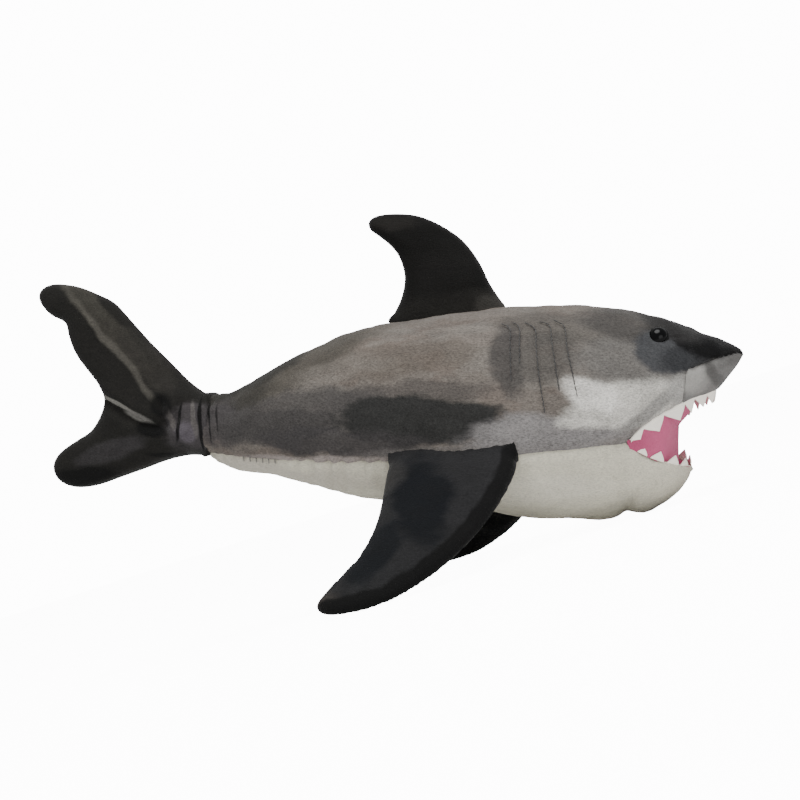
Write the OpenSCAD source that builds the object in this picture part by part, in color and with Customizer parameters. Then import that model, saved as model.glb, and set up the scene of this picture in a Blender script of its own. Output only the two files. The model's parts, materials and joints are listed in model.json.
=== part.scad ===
// Plush shark: a stuffed body with a hinged lower jaw, a dorsal fin, two pectoral fins and a tail.
// It is drawn level, with +X to the nose, +Y to its left and +Z up, then leaned nose-down onto
// the three places it stands on: the two pectoral tips and the front of the belly.

/* [Body] */
// Length from the tail seam to the nose
body_length = 450; // [375:5:540]
// Height at the deepest section
body_height = 175; // [145:1:205]
// Width at the widest section
body_width = 162; // [135:3:195]
// Thickness of the plush fabric
fabric = 2; // [1.4:0.1:2.6]
// Gap left along a sewn seam
seam_gap = 0.2; // [0.1:0.05:0.4]
// Gap between the fabric and the stuffing
stuffing_gap = 0.3; // [0.2:0.05:0.5]
// Depth cut off the underside to give a flat rest
rest_depth = 1; // [0.6:0.1:1.5]

/* [Mouth] */
// Thickness of the mouth lining
lining = 1.4; // [0.8:0.1:2]
// Thickness of the felt teeth
felt = 1.4; // [0.8:0.1:2]
// Height of the largest tooth
tooth_height = 12; // [9:0.2:15]
// How far the lower lining dips between the lips
jaw_dip = 7; // [4:0.5:9]
// Angle left free behind the jaw for it to open into
jaw_wedge = 13; // [12:1:18]

/* [Eyes] */
// Diameter of the eye dome
eye_d = 15; // [12:0.5:18]
// How far the dome stands out of the fabric
eye_rise = 5; // [4:0.5:6]
// Diameter of the shank behind the eye
shank_d = 5; // [4:0.5:6]
// Length of the shank
shank_length = 13; // [12:0.5:16]
// Outside diameter of the washer that locks the shank
washer_d = 19; // [16:0.5:22]
// How far the washer lies behind the dome
washer_depth = 10.5; // [10:0.5:11.5]

/* [Fins] */
// Height of the dorsal fin over the back
dorsal_height = 78; // [62:2:94]
// Half thickness of the stuffing in the dorsal fin
dorsal_half = 8; // [5.5:0.5:9.5]
// Length of a pectoral fin from the body to its tip
pectoral_length = 141; // [115:3:168]
// Half thickness of the stuffing in a pectoral fin
pectoral_half = 8; // [5.5:0.5:9.5]
// How far a pectoral fin droops below level
pectoral_droop = 50; // [44:1:60]
// Length of the tail behind its seam
tail_length = 155; // [128:3:185]
// Half thickness of the tail where it joins the body
tail_half = 18; // [12:1:19]
// Half thickness of the stuffing in the upper tail lobe
lobe_half = 8; // [5:0.5:9]

/* [Threads] */
// Thickness of the gill and closing threads
thread_d = 1.6; // [1.2:0.1:2]
// Number of stitches that close the seam under the tail
closing_count = 6; // [4:1:8]

/* [Hidden] */
$fn = 48;
// The outlines below are drawn at this length, height and width, and stretched to the sizes above
drawn = [450, 175, 162];
kx = body_length / drawn[0];
ky = body_width / drawn[2];
kz = body_height / drawn[1];
curve_n = 2.2; // how square a body section is: 2 is an ellipse

// Body stations from the tail seam to the nose:
// [x, top, widest level, bottom, half width, lower hem of the side fabric, lower edge of the side panel]
// Ahead of the mouth corner the bottom is where the section would close if it had no mouth.
STATIONS = [
    [-166,   2, -24, -50, 24, -48, -48],
    [-140,   9, -24, -61, 33, -48, -48],
    [-105,  27, -20, -66, 47, -50, -50],
    [ -65,  47, -16, -72, 60, -49, -49],
    [ -20,  61, -12, -83, 71, -49, -49],
    [  25,  70, -10, -88, 78, -46, -46],
    [  70,  75,  -9, -91, 81, -42, -42],
    [ 113,  78,  -8, -94, 81, -39, -39],
    [ 150,  80,  -5, -95, 77, -35, -35],
    [ 178,  77,  -2, -95, 72, -31, -31],
    [ 198,  74,   1, -90, 66, -28, -28],
    [ 208,  72,   5, -54, 62, -18, -18],
    [ 222,  69,  12, -26, 55,  -7,  -7],
    [ 238,  63,  21,  -7, 46,   2,   2],
    [ 243,  61,  24,  -2, 43,   5,  27],
    [ 250,  58,  28,   5, 37,   8,  31],
    [ 259,  55,  32,  10, 29,  11,  35],
    [ 264,  53,  35,  13, 25,  13,  37],
    [ 272,  49,  38,  23, 17,  23,  39],
    [ 278,  46,  40,  31, 10,  31,  41],
    [ 281,  44,  40,  36,  5,  36,  41],
];
corner = 10;                // station of the mouth corner
snout_start = 13;           // station where the snout panel starts
lip_end = 17;               // station where the two upper lips meet
nose = len(STATIONS) - 1;
// Height of the palate along its middle, from the mouth corner to where the lips meet
PALATE = [-29, -16, 4, 18, 20, 20, 14];

// Lower jaw stations from the mouth corner forward: [x, lip, bottom, half width]
JAW = [
    [200.5, -32, -86, 62],
    [207,   -35, -84, 58],
    [214,   -39, -79, 53],
    [222,   -43, -73, 47],
    [230,   -45, -68, 40],
    [236,   -47, -62, 31],
    [240,   -48, -58, 20],
    [242,   -49, -54,  8],
];
hinge_x = 198;
hinge_z = -30;

// Fin outlines: [leading edge across, up, trailing edge across, up, share of the full thickness]
DORSAL = [
    [ 89,   0,  -8,   0, 0.20],
    [ 88,   3,  -7,   3, 0.75],
    [ 86,   8,  -6,   7, 0.95],
    [ 77,  20,  -1,  18, 1.00],
    [ 68,  36,   3,  30, 0.95],
    [ 59,  50,   1,  43, 0.90],
    [ 45,  61,  -6,  54, 0.80],
    [ 28,  71, -14,  62, 0.70],
    [ 10,  77, -22,  68, 0.55],
    [-10,  78, -27,  74, 0.40],
    [-21,  77, -26,  76, 0.15],
];
dorsal_height_drawn = 78; // height the outline above is drawn at
dorsal_rise = 66;       // height of the dorsal base line over the body's origin
dorsal_slope = 7.5;     // how steeply that line rises towards the nose
dorsal_seat = 20;       // height over which the fin's foot follows the curve of the back
dorsal_clear = 1.2;     // gap between the foot and the back

PECTORAL = [
    [106, 4.5,   1, 4.5, 0.20],
    [107,   6,   0,   6, 0.50],
    [107,   9,   0,   9, 0.85],
    [106,  14,   0,  14, 1.00],
    [104,  24,   0,  24, 1.00],
    [ 99,  40,   0,  38, 0.95],
    [ 92,  56,  -1,  54, 0.90],
    [ 81,  74,  -5,  72, 0.85],
    [ 66,  93, -11,  88, 0.80],
    [ 48, 111, -21, 100, 0.70],
    [ 26, 127, -30, 109, 0.60],
    [  2, 137, -38, 118, 0.50],
    [-18, 141, -40, 127, 0.35],
    [-30, 141, -38, 135, 0.12],
];
pectoral_pivot = 14;  // how far out of the body the fin's hinge line lies
pectoral_rear = 8;    // where the pectoral base starts along the body
pectoral_front = 114; // where it ends

// Lower half of the tail: [top edge x, z, bottom edge x, z, share of the full thickness]
TAIL = [
    [-166.6,   1, -166.6, -49, 0.15],
    [-169,     1, -169,   -49, 0.55],
    [-174,     0, -174,   -49, 0.85],
    [-186,     0, -184,   -49, 1.00],
    [-204,     0, -198,   -51, 0.90],
    [-224,     0, -210,   -55, 0.75],
    [-242,     0, -223,   -61, 0.65],
    [-257,    -1, -237,   -66, 0.55],
    [-265,   -13, -251,   -71, 0.50],
    [-272,   -28, -265,   -76, 0.48],
    [-284,   -36, -279,   -79, 0.42],
    [-296,   -43, -292,   -78, 0.35],
    [-305,   -50, -302,   -75, 0.25],
    [-310,   -58, -309,   -68, 0.08],
];
// Upper tail lobe, in the same form: leading edge, trailing edge, share of its thickness
LOBE = [
    [-175,  0.6, -262,  0.6, 0.60],
    [-180,  7,   -266,  8,   0.85],
    [-194, 21,   -277, 21,   1.00],
    [-210, 36,   -287, 34,   1.00],
    [-227, 54,   -294, 46,   0.95],
    [-244, 72,   -297, 58,   0.85],
    [-258, 83,   -303, 65,   0.75],
    [-274, 90,   -310, 69,   0.65],
    [-291, 95,   -316, 74,   0.50],
    [-306, 96.5, -320, 80,   0.35],
    [-316, 95,   -322, 87,   0.12],
];
tail_seam = -166;
tail_length_drawn = 155;

// Gill threads on the right side, each a list of [x, z] from top to bottom
GILLS = [
    [[ 97, 64], [103, 61], [105, 53], [107, 40], [109, 23]],
    [[106, 65], [111, 61], [113, 50], [115, 36]],
    [[116, 65], [124, 60], [127, 46], [131, 25], [136, -2]],
    [[128, 66], [135, 63], [139, 50], [143, 34], [147, 15]],
    [[139, 67], [147, 62], [151, 47], [156, 30], [161, 10]],
];
eye_at = [219.5, 56];      // x and height of the eye
eye_tilt = 28;             // how far the eye looks up
closing_from = -128;       // where the closing stitches start
closing_step = 6;

// Sizes worked out from the ones above
fin_cols = [for (j = [0:8]) j / 8]; // shares of a fin's chord
flank = body_width / 2;

// ---- Curves and surfaces ----

// A point on the smooth curve through the rows of a list, at a fractional row
function smooth(rows, t) =
    let(
        i = max(0, min(floor(t), len(rows) - 2)),
        f = t - i,
        a = rows[max(i - 1, 0)],
        b = rows[i],
        c = rows[i + 1],
        d = rows[min(i + 2, len(rows) - 1)]
    )
    b + 0.5 * f * ((c - a) + f * ((2 * a - 5 * b + 4 * c - d) + f * (3 * (b - c) + d - a)));

function mix(a, b, f) = a + (b - a) * f;
function stretch(p) = [p[0] * kx, p[1] * ky, p[2] * kz];
function unit(v) = v / norm(v);

// Angle round one side of a section: 0 at the ridge, 180 under the belly
function section_angle(s, z) =
    z >= s[2]
    ? acos(pow(min(1, (z - s[2]) / (s[1] - s[2])), curve_n / 2))
    : 180 - acos(pow(min(1, (s[2] - z) / (s[2] - s[3])), curve_n / 2));

function section_point(s, angle, inset) =
    let(
        across = pow(max(0, sin(angle)), 2 / curve_n),
        rise = pow(abs(cos(angle)), 2 / curve_n),
        half = s[4] * ky - inset,
        up = (s[1] - s[2]) * kz - inset,
        down = (s[2] - s[3]) * kz - inset
    )
    [s[0] * kx, half * across, s[2] * kz + (angle < 90 ? up : -down) * rise];

function hem_angle(s) = section_angle(s, s[5]);
function edge_angle(s) = section_angle(s, max(s[5], s[6]));
function hem_point(t, inset) = let(s = smooth(STATIONS, t)) section_point(s, hem_angle(s), inset);

// How far the side surface stands from the middle at a height, over a station
function side_at(t, z) = let(s = smooth(STATIONS, t)) section_point(s, section_angle(s, z), 0)[1];

// The fractional station at a place along the body
function station_of(x, lo = 0, hi = 20, n = 14) =
    n == 0
    ? (lo + hi) / 2
    : let(m = (lo + hi) / 2)
      smooth(STATIONS, m)[0] < x ? station_of(x, m, hi, n - 1) : station_of(x, lo, m, n - 1);

// Closed solid between two grids of points that match row by row and column by column
module skin(front, back, flip = false) {
    rows = len(front);
    cols = len(front[0]);
    far = rows * cols;
    faces = [
        for (i = [0:rows - 2], j = [0:cols - 2])
            let(a = i * cols + j, b = a + 1, c = a + cols + 1, d = a + cols)
            each [[a, b, c], [a, c, d], [far + a, far + c, far + b], [far + a, far + d, far + c]],
        for (j = [0:cols - 2])
            let(a = j, b = j + 1, c = (rows - 1) * cols + j, d = c + 1)
            each [[a, far + a, far + b], [a, far + b, b], [c, d, far + d], [c, far + d, far + c]],
        for (i = [0:rows - 2])
            let(a = i * cols, b = a + cols, c = a + cols - 1, d = b + cols - 1)
            each [[a, b, far + b], [a, far + b, far + a], [c, far + c, far + d], [c, far + d, d]],
    ];
    polyhedron(
        concat([for (row = front) each row], [for (row = back) each row]),
        [for (f = faces) flip ? [f[2], f[1], f[0]] : f],
        convexity = 8
    );
}

// Closed solid through a list of rings, with a cap at each end that fans out from its middle
function ring_middle(ring) =
    [for (k = [0:2]) let(all = [for (p = ring) p[k]]) (min(all) + max(all)) / 2];
module loft(rings, flip = false) {
    rows = len(rings);
    cols = len(rings[0]);
    first = rows * cols;
    faces = [
        for (i = [0:rows - 2], j = [0:cols - 1])
            let(a = i * cols + j, b = i * cols + (j + 1) % cols, c = b + cols, d = a + cols)
            each [[a, c, b], [a, d, c]],
        for (j = [0:cols - 1])
            let(k = (j + 1) % cols, last = (rows - 1) * cols)
            each [[first, j, k], [first + 1, last + k, last + j]],
    ];
    points = concat(
        [for (ring = rings) each ring],
        [ring_middle(rings[0]), ring_middle(rings[rows - 1])]
    );
    polyhedron(points, [for (f = faces) flip ? [f[2], f[1], f[0]] : f], convexity = 8);
}

function mirrored(p) = [p[0], -p[1], p[2]];
// A half section, from the ridge round to the underside, closed with its mirror image
function whole_ring(half) =
    concat(half, [for (i = [len(half) - 2:-1:1]) mirrored(half[i])]);

// ---- Where it stands ----

pectoral_length_drawn = 141;
function pectoral_frame(side) =
    let(
        rear = hem_point(station_of(pectoral_rear), 0),
        front = hem_point(station_of(pectoral_front), 0),
        along = unit(front - rear),
        drop = [0, cos(pectoral_droop), -sin(pectoral_droop)],
        out = unit(drop - along * (drop * along)),
        face = cross(along, out)
    )
    [for (v = [rear, along, out, face]) [v[0], side * v[1], v[2]]];

// A point of a pectoral fin: along its base, out from the body, and through its thickness
function pectoral_point(side, p, q, through) =
    let(f = pectoral_frame(side))
    f[0] + f[1] * p + f[2] * q * pectoral_length / pectoral_length_drawn + f[3] * through;

// The whole shark leans until a straight floor touches both the fins and the belly
belly_line = [for (t = [6:0.5:corner]) let(s = smooth(STATIONS, t)) [s[0] * kx, s[3] * kz + rest_depth]];
fin_line = [
    for (row = pectoral_map(fin_grid(PECTORAL, pectoral_half, seam_gap / 2 + fabric), 1, -1), p = row)
        if (p[2] < belly_line[0][1]) [p[0], p[2]]
];
function over(line, slope) = min([for (p = line) p[1] - p[0] * slope]);
function floor_slope(lo = 0, hi = 1, n = 24) =
    let(m = (lo + hi) / 2)
    n == 0 ? m
    : over(fin_line, m) < over(belly_line, m) ? floor_slope(m, hi, n - 1)
    : floor_slope(lo, m, n - 1);
lean = atan(floor_slope());
function leaned(p) = [p[0] * cos(lean) + p[2] * sin(lean), p[1], p[2] * cos(lean) - p[0] * sin(lean)];
floor_z = min([for (p = fin_line) leaned([p[0], 0, p[1]])[2]]);
nose_x = leaned(stretch([STATIONS[nose][0], 0, 42]))[0];
tail_x = min([for (r = concat(LOBE, TAIL), c = [0, 2])
    leaned([tail_place(r[c]), 0, r[c + 1]])[0]]);
middle_x = (nose_x + tail_x) / 2;

// Leans the level shark onto its fin tips and belly, with the origin under its middle
module place() {
    translate([-middle_x, 0, -floor_z]) rotate([0, lean, 0]) children();
}

// ---- Body ----

panel_rows = [for (i = [0:0.5:nose]) i];
side_cols = [for (j = [0:8]) j / 8];
edge_stop = 0.2;  // angle by which a side panel stops short of its edge
edge_start = 0.6; // angle beyond that edge where the next panel starts

function side_grid(inset, side) = [
    for (t = panel_rows)
        let(s = smooth(STATIONS, t), last = edge_angle(s) - edge_stop)
        [
            for (u = side_cols)
                let(p = section_point(s, last * u, inset))
                [p[0], side * (p[1] + seam_gap / 2), p[2]]
        ]
];
module side_panel(side) {
    skin(side_grid(0, side), side_grid(fabric, side), flip = side < 0);
}
module right_side_panel() { color("dimgray") place() side_panel(-1); }
module left_side_panel() { color("dimgray") place() side_panel(1); }

belly_cols = [for (j = [-6:6]) j / 6];
function belly_grid(inset) = [
    for (t = [for (i = [0:0.5:corner]) i])
        let(s = smooth(STATIONS, t), first = hem_angle(s) + edge_start)
        [
            for (v = belly_cols)
                let(p = section_point(s, mix(180, first, abs(v)), inset))
                [p[0], sign(v) * p[1], p[2]]
        ]
];
module belly_panel() {
    color("ivory")
        difference() {
            place() skin(belly_grid(0), belly_grid(fabric), flip = true);
            translate([-body_length, -flank, -20]) cube([2 * body_length, 2 * flank, 20]);
        }
}

// The snout panel is open along the lips, so it is made as a right and a left half that meet ahead of them
function snout_half(inset, side) = [
    for (t = [for (i = [snout_start + 0.5:0.5:nose]) i])
        let(
            s = smooth(STATIONS, t),
            first = edge_angle(s) + edge_start,
            last = max(hem_angle(s), first + 2)
        )
        [for (u = [0:6])
            let(p = section_point(s, mix(first, last, u / 6), inset))
            [p[0], side * (p[1] + seam_gap / 2), p[2]]]
];
module snout_panel() {
    color("darkgray") place()
        for (side = [-1, 1]) skin(snout_half(0, side), snout_half(fabric, side), flip = side < 0);
}

// The palate: [station, share across from -1 to 1, offset back, offset up]
function palate_height(t) = smooth([for (z = PALATE) [z]], t - corner)[0] * kz;
function palate_point(t, v, back, up) =
    let(lip = hem_point(t, fabric + seam_gap), middle = palate_height(t))
    [lip[0] - back, lip[1] * v, mix(middle, lip[2], v * v) + up];
palate_cols = [for (j = [-6:6]) j / 6];
palate_rows = [0.1, for (i = [0.5:0.5:5.5]) i, 5.8];
lining_back = 0.6; // share of the lining's thickness that lies behind the palate
lining_up = 0.8;   // and the share above it
function palate_grid(back, up) = [
    for (i = palate_rows) let(t = corner + i)
        [for (v = palate_cols) palate_point(t, v, back, up)]
];
module upper_mouth_lining() {
    color("palevioletred") place()
        skin(palate_grid(0, 0), palate_grid(lining * lining_back, lining * lining_up), flip = true);
}

// Half rings of the stuffing, on nearly the same rows and columns as the panels round it
loose = 1.2; // room round the body's stuffing, beyond the gap that every piece has
body_inset = fabric + stuffing_gap + loose;
function side_half(s, last) = [for (u = side_cols) section_point(s, last * u, body_inset)];
function closed_half(t) =
    let(s = smooth(STATIONS, t), edge = edge_angle(s))
    concat(
        side_half(s, edge - edge_stop),
        [for (v = [0:6]) section_point(s, mix(edge + edge_start, 180, v / 6), body_inset)]
    );
// Down to the lip and in over the palate
palate_gap = stuffing_gap + loose;
lip_rise = lining + palate_gap + 1;
function open_half(t) =
    let(s = smooth(STATIONS, t), lip = section_angle(s, s[5] + lip_rise / kz))
    concat(
        side_half(s, min(edge_angle(s) - edge_stop, lip - edge_start)),
        [section_point(s, lip, body_inset)],
        [for (v = [5:-1:0])
            palate_point(t, v / 6, lining * lining_back + palate_gap, lining * lining_up + palate_gap)]
    );
throat = corner - 0.35; // station where the stuffing steps up over the mouth
module body_stuffing() {
    color("white") place() loft([
        for (t = [0.5:0.5:throat]) whole_ring(closed_half(t)),
        whole_ring(open_half(throat)),
        for (t = [corner:0.5:lip_end - 0.5]) whole_ring(open_half(t)),
        for (t = [lip_end:0.5:nose - 0.5]) whole_ring(closed_half(t)),
    ], flip = true);
}

// ---- Teeth ----

// A flat felt triangle on its base, with its tip near the front end of the base
module tooth(rear, front, tip) {
    inward = unit(cross([0, 0, 1], front - rear) * sign(-rear[1] - front[1])) * felt;
    turn = cross(front - rear, tip - rear) * inward > 0;
    base = [rear, front, tip];
    points = concat(base, [for (p = base) p + inward]);
    faces = [[0, 1, 2], [5, 4, 3], [0, 3, 4], [0, 4, 1], [1, 4, 5], [1, 5, 2], [2, 5, 3], [2, 3, 0]];
    polyhedron(points, turn ? faces : [for (f = faces) [f[2], f[1], f[0]]]);
}

upper_marks = [10.15, 11.2, 12.15, 13.2, 14.6, 15.6, 16.4];
upper_sizes = [0.6, 0.95, 1, 0.9, 0.8, 0.7];
function upper_base(t, side) = let(p = hem_point(t, 0.3)) [p[0], side * p[1], p[2] - 0.4];
module upper_teeth() {
    color("ivory") place() {
        for (side = [-1, 1], i = [0:len(upper_sizes) - 1]) {
            rear = upper_base(upper_marks[i] + 0.06, side);
            front = upper_base(upper_marks[i + 1] - 0.06, side);
            tooth(rear, front, mix(rear, front, 0.9) - [0, 0, tooth_height * upper_sizes[i]]);
        }
        right = upper_base(upper_marks[6] + 0.05, -1);
        left = upper_base(upper_marks[6] + 0.05, 1);
        front_tooth(right, left, -tooth_height * 0.7);
    }
}
// The tooth across the middle: its base runs from side to side
module front_tooth(right, left, rise) {
    tip = (right + left) / 2 + [0, 0, rise];
    back = [-felt, 0, 0];
    base = [right, left, tip];
    points = concat(base, [for (p = base) p + back]);
    faces = [[0, 1, 2], [5, 4, 3], [0, 3, 4], [0, 4, 1], [1, 4, 5], [1, 5, 2], [2, 5, 3], [2, 3, 0]];
    polyhedron(points, rise > 0 ? [for (f = faces) [f[2], f[1], f[0]]] : faces);
}

lower_marks = [[0.9, 1.9], [2.3, 3.6], [3.9, 5.3], [5.6, 6.7]];
lower_sizes = [0.5, 0.65, 0.6, 0.5];
module lower_teeth() {
    color("ivory") place()
        for (side = [-1, 1], i = [0:len(lower_sizes) - 1]) {
            rear = lower_base(lower_marks[i][0], side);
            front = lower_base(lower_marks[i][1], side);
            tooth(rear, front, mix(rear, front, 0.85) + [0, 0, tooth_height * lower_sizes[i]]);
        }
}
function lower_base(t, side) =
    let(j = smooth(JAW, t)) [j[0] * kx, side * (j[3] * ky - 0.3), j[1] * kz + 1];

// ---- Lower jaw ----

// The jaw section leans forward at the back, which leaves the wedge it opens into
function jaw_lean(t, z) = tan(jaw_wedge) * (hinge_z * kz - z) * max(0, 1 - t / 4);
function jaw_point(t, v, inset) =
    let(
        j = smooth(JAW, t),
        turn = 90 * (1 - abs(v)),
        y = (j[3] * ky - inset) * pow(cos(turn), 2 / curve_n),
        z = j[1] * kz - ((j[1] - j[2]) * kz - inset) * pow(sin(turn), 2 / curve_n)
    )
    [j[0] * kx + jaw_lean(t, z), sign(v) * y, z];
jaw_rows = [for (t = [0:0.5:len(JAW) - 1]) t];
jaw_cols = [for (i = [-9:9]) i / 9];
module lower_jaw_panel() {
    color("ivory") place()
        skin(
            [for (t = jaw_rows) [for (v = jaw_cols) jaw_point(t, v, 0)]],
            [for (t = jaw_rows) [for (v = jaw_cols) jaw_point(t, v, fabric)]],
            flip = true
        );
}

function jaw_top(t, v, drop) =
    let(
        j = smooth(JAW, t),
        half = j[3] * ky - fabric - 2 * seam_gap,
        dip = min(jaw_dip, (j[1] - j[2]) * kz / 3)
    )
    [j[0] * kx + jaw_lean(t, j[1] * kz), half * v, j[1] * kz - dip * (1 - v * v) - drop];
lining_rows = [for (t = [0:0.5:len(JAW) - 1.5]) t];
lining_cols = [for (i = [-6:6]) i / 6];
module lower_mouth_lining() {
    color("palevioletred") place()
        skin(
            [for (t = lining_rows) [for (v = lining_cols) jaw_top(t, v, lining)]],
            [for (t = lining_rows) [for (v = lining_cols) jaw_top(t, v, 0)]],
            flip = true
        );
}

// Stations of the jaw that the filling reaches
jaw_fill = [0.1:0.5:5.1];
module jaw_stuffing() {
    under = lining + stuffing_gap;
    inset = fabric + stuffing_gap;
    rings = [
        for (t = jaw_fill)
            let(
                bowl = [for (v = [-8:8]) jaw_point(t, v * 0.11, inset)],
                edge = bowl[16],
                top = [
                    for (v = [4:-1:-4])
                        let(p = jaw_top(t, v / 5, under))
                        [p[0], edge[1] * v / 5, min(p[2], edge[2] - 0.5)]
                ]
            )
            concat(bowl, top)
    ];
    color("white") place() loft(rings);
}

// ---- Eyes ----

function eye_place(side) =
    let(t = station_of(eye_at[0]))
    [eye_at[0] * kx, side * side_at(t, eye_at[1]), eye_at[1] * kz];
// Turns a child's +Z out of the eye's place on the head
module at_eye(side) {
    place() translate(eye_place(side)) rotate([side * (eye_tilt - 90), 0, 0]) children();
}
eye_r = (pow(eye_d / 2, 2) + pow(eye_rise, 2)) / (2 * eye_rise);
module eye(side) {
    color("black") at_eye(side) {
        intersection() {
            translate([0, 0, eye_rise - eye_r]) sphere(r = eye_r);
            cylinder(d = eye_d + 2, h = eye_rise + 1);
        }
        translate([0, 0, -shank_length]) cylinder(d = shank_d, h = shank_length + 0.5);
    }
}
module eye_washer(side) {
    color("whitesmoke") at_eye(side)
        translate([0, 0, -washer_depth])
            difference() {
                cylinder(d = washer_d, h = 1.5);
                translate([0, 0, -1]) cylinder(d = shank_d + 0.1, h = 4);
            }
}
module eye_right() { eye(-1); }
module eye_left() { eye(1); }
module eye_washer_right() { eye_washer(-1); }
module eye_washer_left() { eye_washer(1); }

// ---- Threads ----

module thread(points, side) {
    ring = [for (k = [0:5]) [cos(60 * k), sin(60 * k)] * thread_d / 2];
    rings = [
        for (t = [0:0.5:len(points) - 1])
            let(p = smooth(points, t), y = side_at(station_of(p[0]), p[1]) + thread_d / 2 + 0.2)
            [for (r = ring) [p[0] * kx + r[0], side * (y + r[1]), p[1] * kz + r[0] * 0.3]]
    ];
    loft(side > 0 ? [for (i = [len(rings) - 1:-1:0]) rings[i]] : rings);
}
module gill_stitches(side) {
    color("dimgray") place() for (gill = GILLS) thread(gill, side);
}
module gill_stitches_right() { gill_stitches(-1); }
module gill_stitches_left() { gill_stitches(1); }

module closing_stitches() {
    color("gray") place()
        for (i = [0:closing_count - 1]) {
            p = hem_point(station_of(closing_from + closing_step * i), 0);
            translate([p[0], -p[1] - thread_d / 2 - 0.3, p[2] - 2.5])
                cylinder(d = thread_d, h = 5, $fn = 24);
        }
}

// ---- Fins ----

function chord(c) = pow(4 * c * (1 - c), 0.55);
// One face of a fin: rows from base to tip, columns from leading to trailing edge
function fin_grid(rows, half, add, trim = 0) = [
    for (t = [trim:0.5:len(rows) - 1 - trim])
        let(r = smooth(rows, t))
        [for (c = fin_cols) if (c >= trim / 8 && c <= 1 - trim / 8)
            [mix(r[0], r[2], c), mix(r[1], r[3], c), max(0, half * r[4] * chord(c)) + add]]
];
// The foot of the dorsal fin follows the ridge of the back, and the fin above it a straight line
function dorsal_base(x, up) =
    let(ridge = smooth(STATIONS, station_of(x))[1] * kz, line = (dorsal_rise + x * tan(dorsal_slope)) * kz)
    mix(ridge, line, min(1, up / dorsal_seat)) + dorsal_clear;
function dorsal_map(grid, side) = [
    for (row = grid) [for (p = row)
        [p[0] * kx, side * p[2], dorsal_base(p[0], p[1]) + p[1] * dorsal_height / dorsal_height_drawn]]
];
module fin_panel(outer, inner, side) { skin(outer, inner, flip = side < 0); }
module dorsal_panel(side) {
    color("dimgray") place() fin_panel(
        dorsal_map(fin_grid(DORSAL, dorsal_half, seam_gap / 2 + fabric), side),
        dorsal_map(fin_grid(DORSAL, dorsal_half, seam_gap / 2), side),
        -side
    );
}
module dorsal_right_panel() { dorsal_panel(-1); }
module dorsal_left_panel() { dorsal_panel(1); }
module dorsal_stuffing() {
    color("white") place() skin(
        dorsal_map(fin_grid(DORSAL, dorsal_half, -stuffing_gap, 1), 1),
        dorsal_map(fin_grid(DORSAL, dorsal_half, -stuffing_gap, 1), -1),
        flip = true
    );
}

// up is 1 for the upper face of a pectoral fin and -1 for its underside
function pectoral_map(grid, side, up) = [
    for (row = grid) [for (p = row) pectoral_point(side, p[0] * kx, p[1], up * p[2])]
];
module pectoral_panel(side, up) {
    place() fin_panel(
        pectoral_map(fin_grid(PECTORAL, pectoral_half, seam_gap / 2 + fabric), side, up),
        pectoral_map(fin_grid(PECTORAL, pectoral_half, seam_gap / 2), side, up),
        side * up
    );
}
module pectoral_stuffing(side) {
    color("white") place() skin(
        pectoral_map(fin_grid(PECTORAL, pectoral_half, -stuffing_gap, 1), side, 1),
        pectoral_map(fin_grid(PECTORAL, pectoral_half, -stuffing_gap, 1), side, -1),
        flip = side < 0
    );
}
module pectoral_upper_right() { color("dimgray") pectoral_panel(-1, 1); }
module pectoral_lower_right() { color("black") pectoral_panel(-1, -1); }
module pectoral_stuffing_right() { pectoral_stuffing(-1); }
module pectoral_upper_left() { color("dimgray") pectoral_panel(1, 1); }
module pectoral_lower_left() { color("black") pectoral_panel(1, -1); }
module pectoral_stuffing_left() { pectoral_stuffing(1); }

// ---- Tail ----

function tail_place(x) = tail_seam * kx + (x - tail_seam) * tail_length / tail_length_drawn;
function tail_map(grid, side) = [
    for (row = grid) [for (p = row) [tail_place(p[0]), side * p[2], p[1] * kz]]
];
module tail_panel(rows, half, side) {
    color("dimgray") place() fin_panel(
        tail_map(fin_grid(rows, half, seam_gap / 2 + fabric), side),
        tail_map(fin_grid(rows, half, seam_gap / 2), side),
        -side
    );
}
module tail_filling(rows, half) {
    color("white") place() skin(
        tail_map(fin_grid(rows, half, -stuffing_gap, 1), 1),
        tail_map(fin_grid(rows, half, -stuffing_gap, 1), -1),
        flip = true
    );
}
module tail_right_panel() { tail_panel(TAIL, tail_half, -1); }
module tail_left_panel() { tail_panel(TAIL, tail_half, 1); }
module tail_stuffing() { tail_filling(TAIL, tail_half); }
module lobe_right_panel() { tail_panel(LOBE, lobe_half, -1); }
module lobe_left_panel() { tail_panel(LOBE, lobe_half, 1); }
module lobe_stuffing() { tail_filling(LOBE, lobe_half); }

right_side_panel();
left_side_panel();
belly_panel();
snout_panel();
body_stuffing();
upper_mouth_lining();
upper_teeth();
eye_right();
eye_left();
eye_washer_right();
eye_washer_left();
gill_stitches_right();
gill_stitches_left();
closing_stitches();
lower_jaw_panel();
lower_mouth_lining();
lower_teeth();
jaw_stuffing();
dorsal_right_panel();
dorsal_left_panel();
dorsal_stuffing();
pectoral_upper_right();
pectoral_lower_right();
pectoral_stuffing_right();
pectoral_upper_left();
pectoral_lower_left();
pectoral_stuffing_left();
tail_right_panel();
tail_left_panel();
tail_stuffing();
lobe_right_panel();
lobe_left_panel();
lobe_stuffing();
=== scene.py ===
"""Plush shark: stuffed fabric skins, felt teeth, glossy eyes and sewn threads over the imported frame."""
import json
import math

import bmesh
import bpy
import numpy as np
from mathutils import Matrix, Vector
from mathutils.geometry import delaunay_2d_cdt


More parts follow.
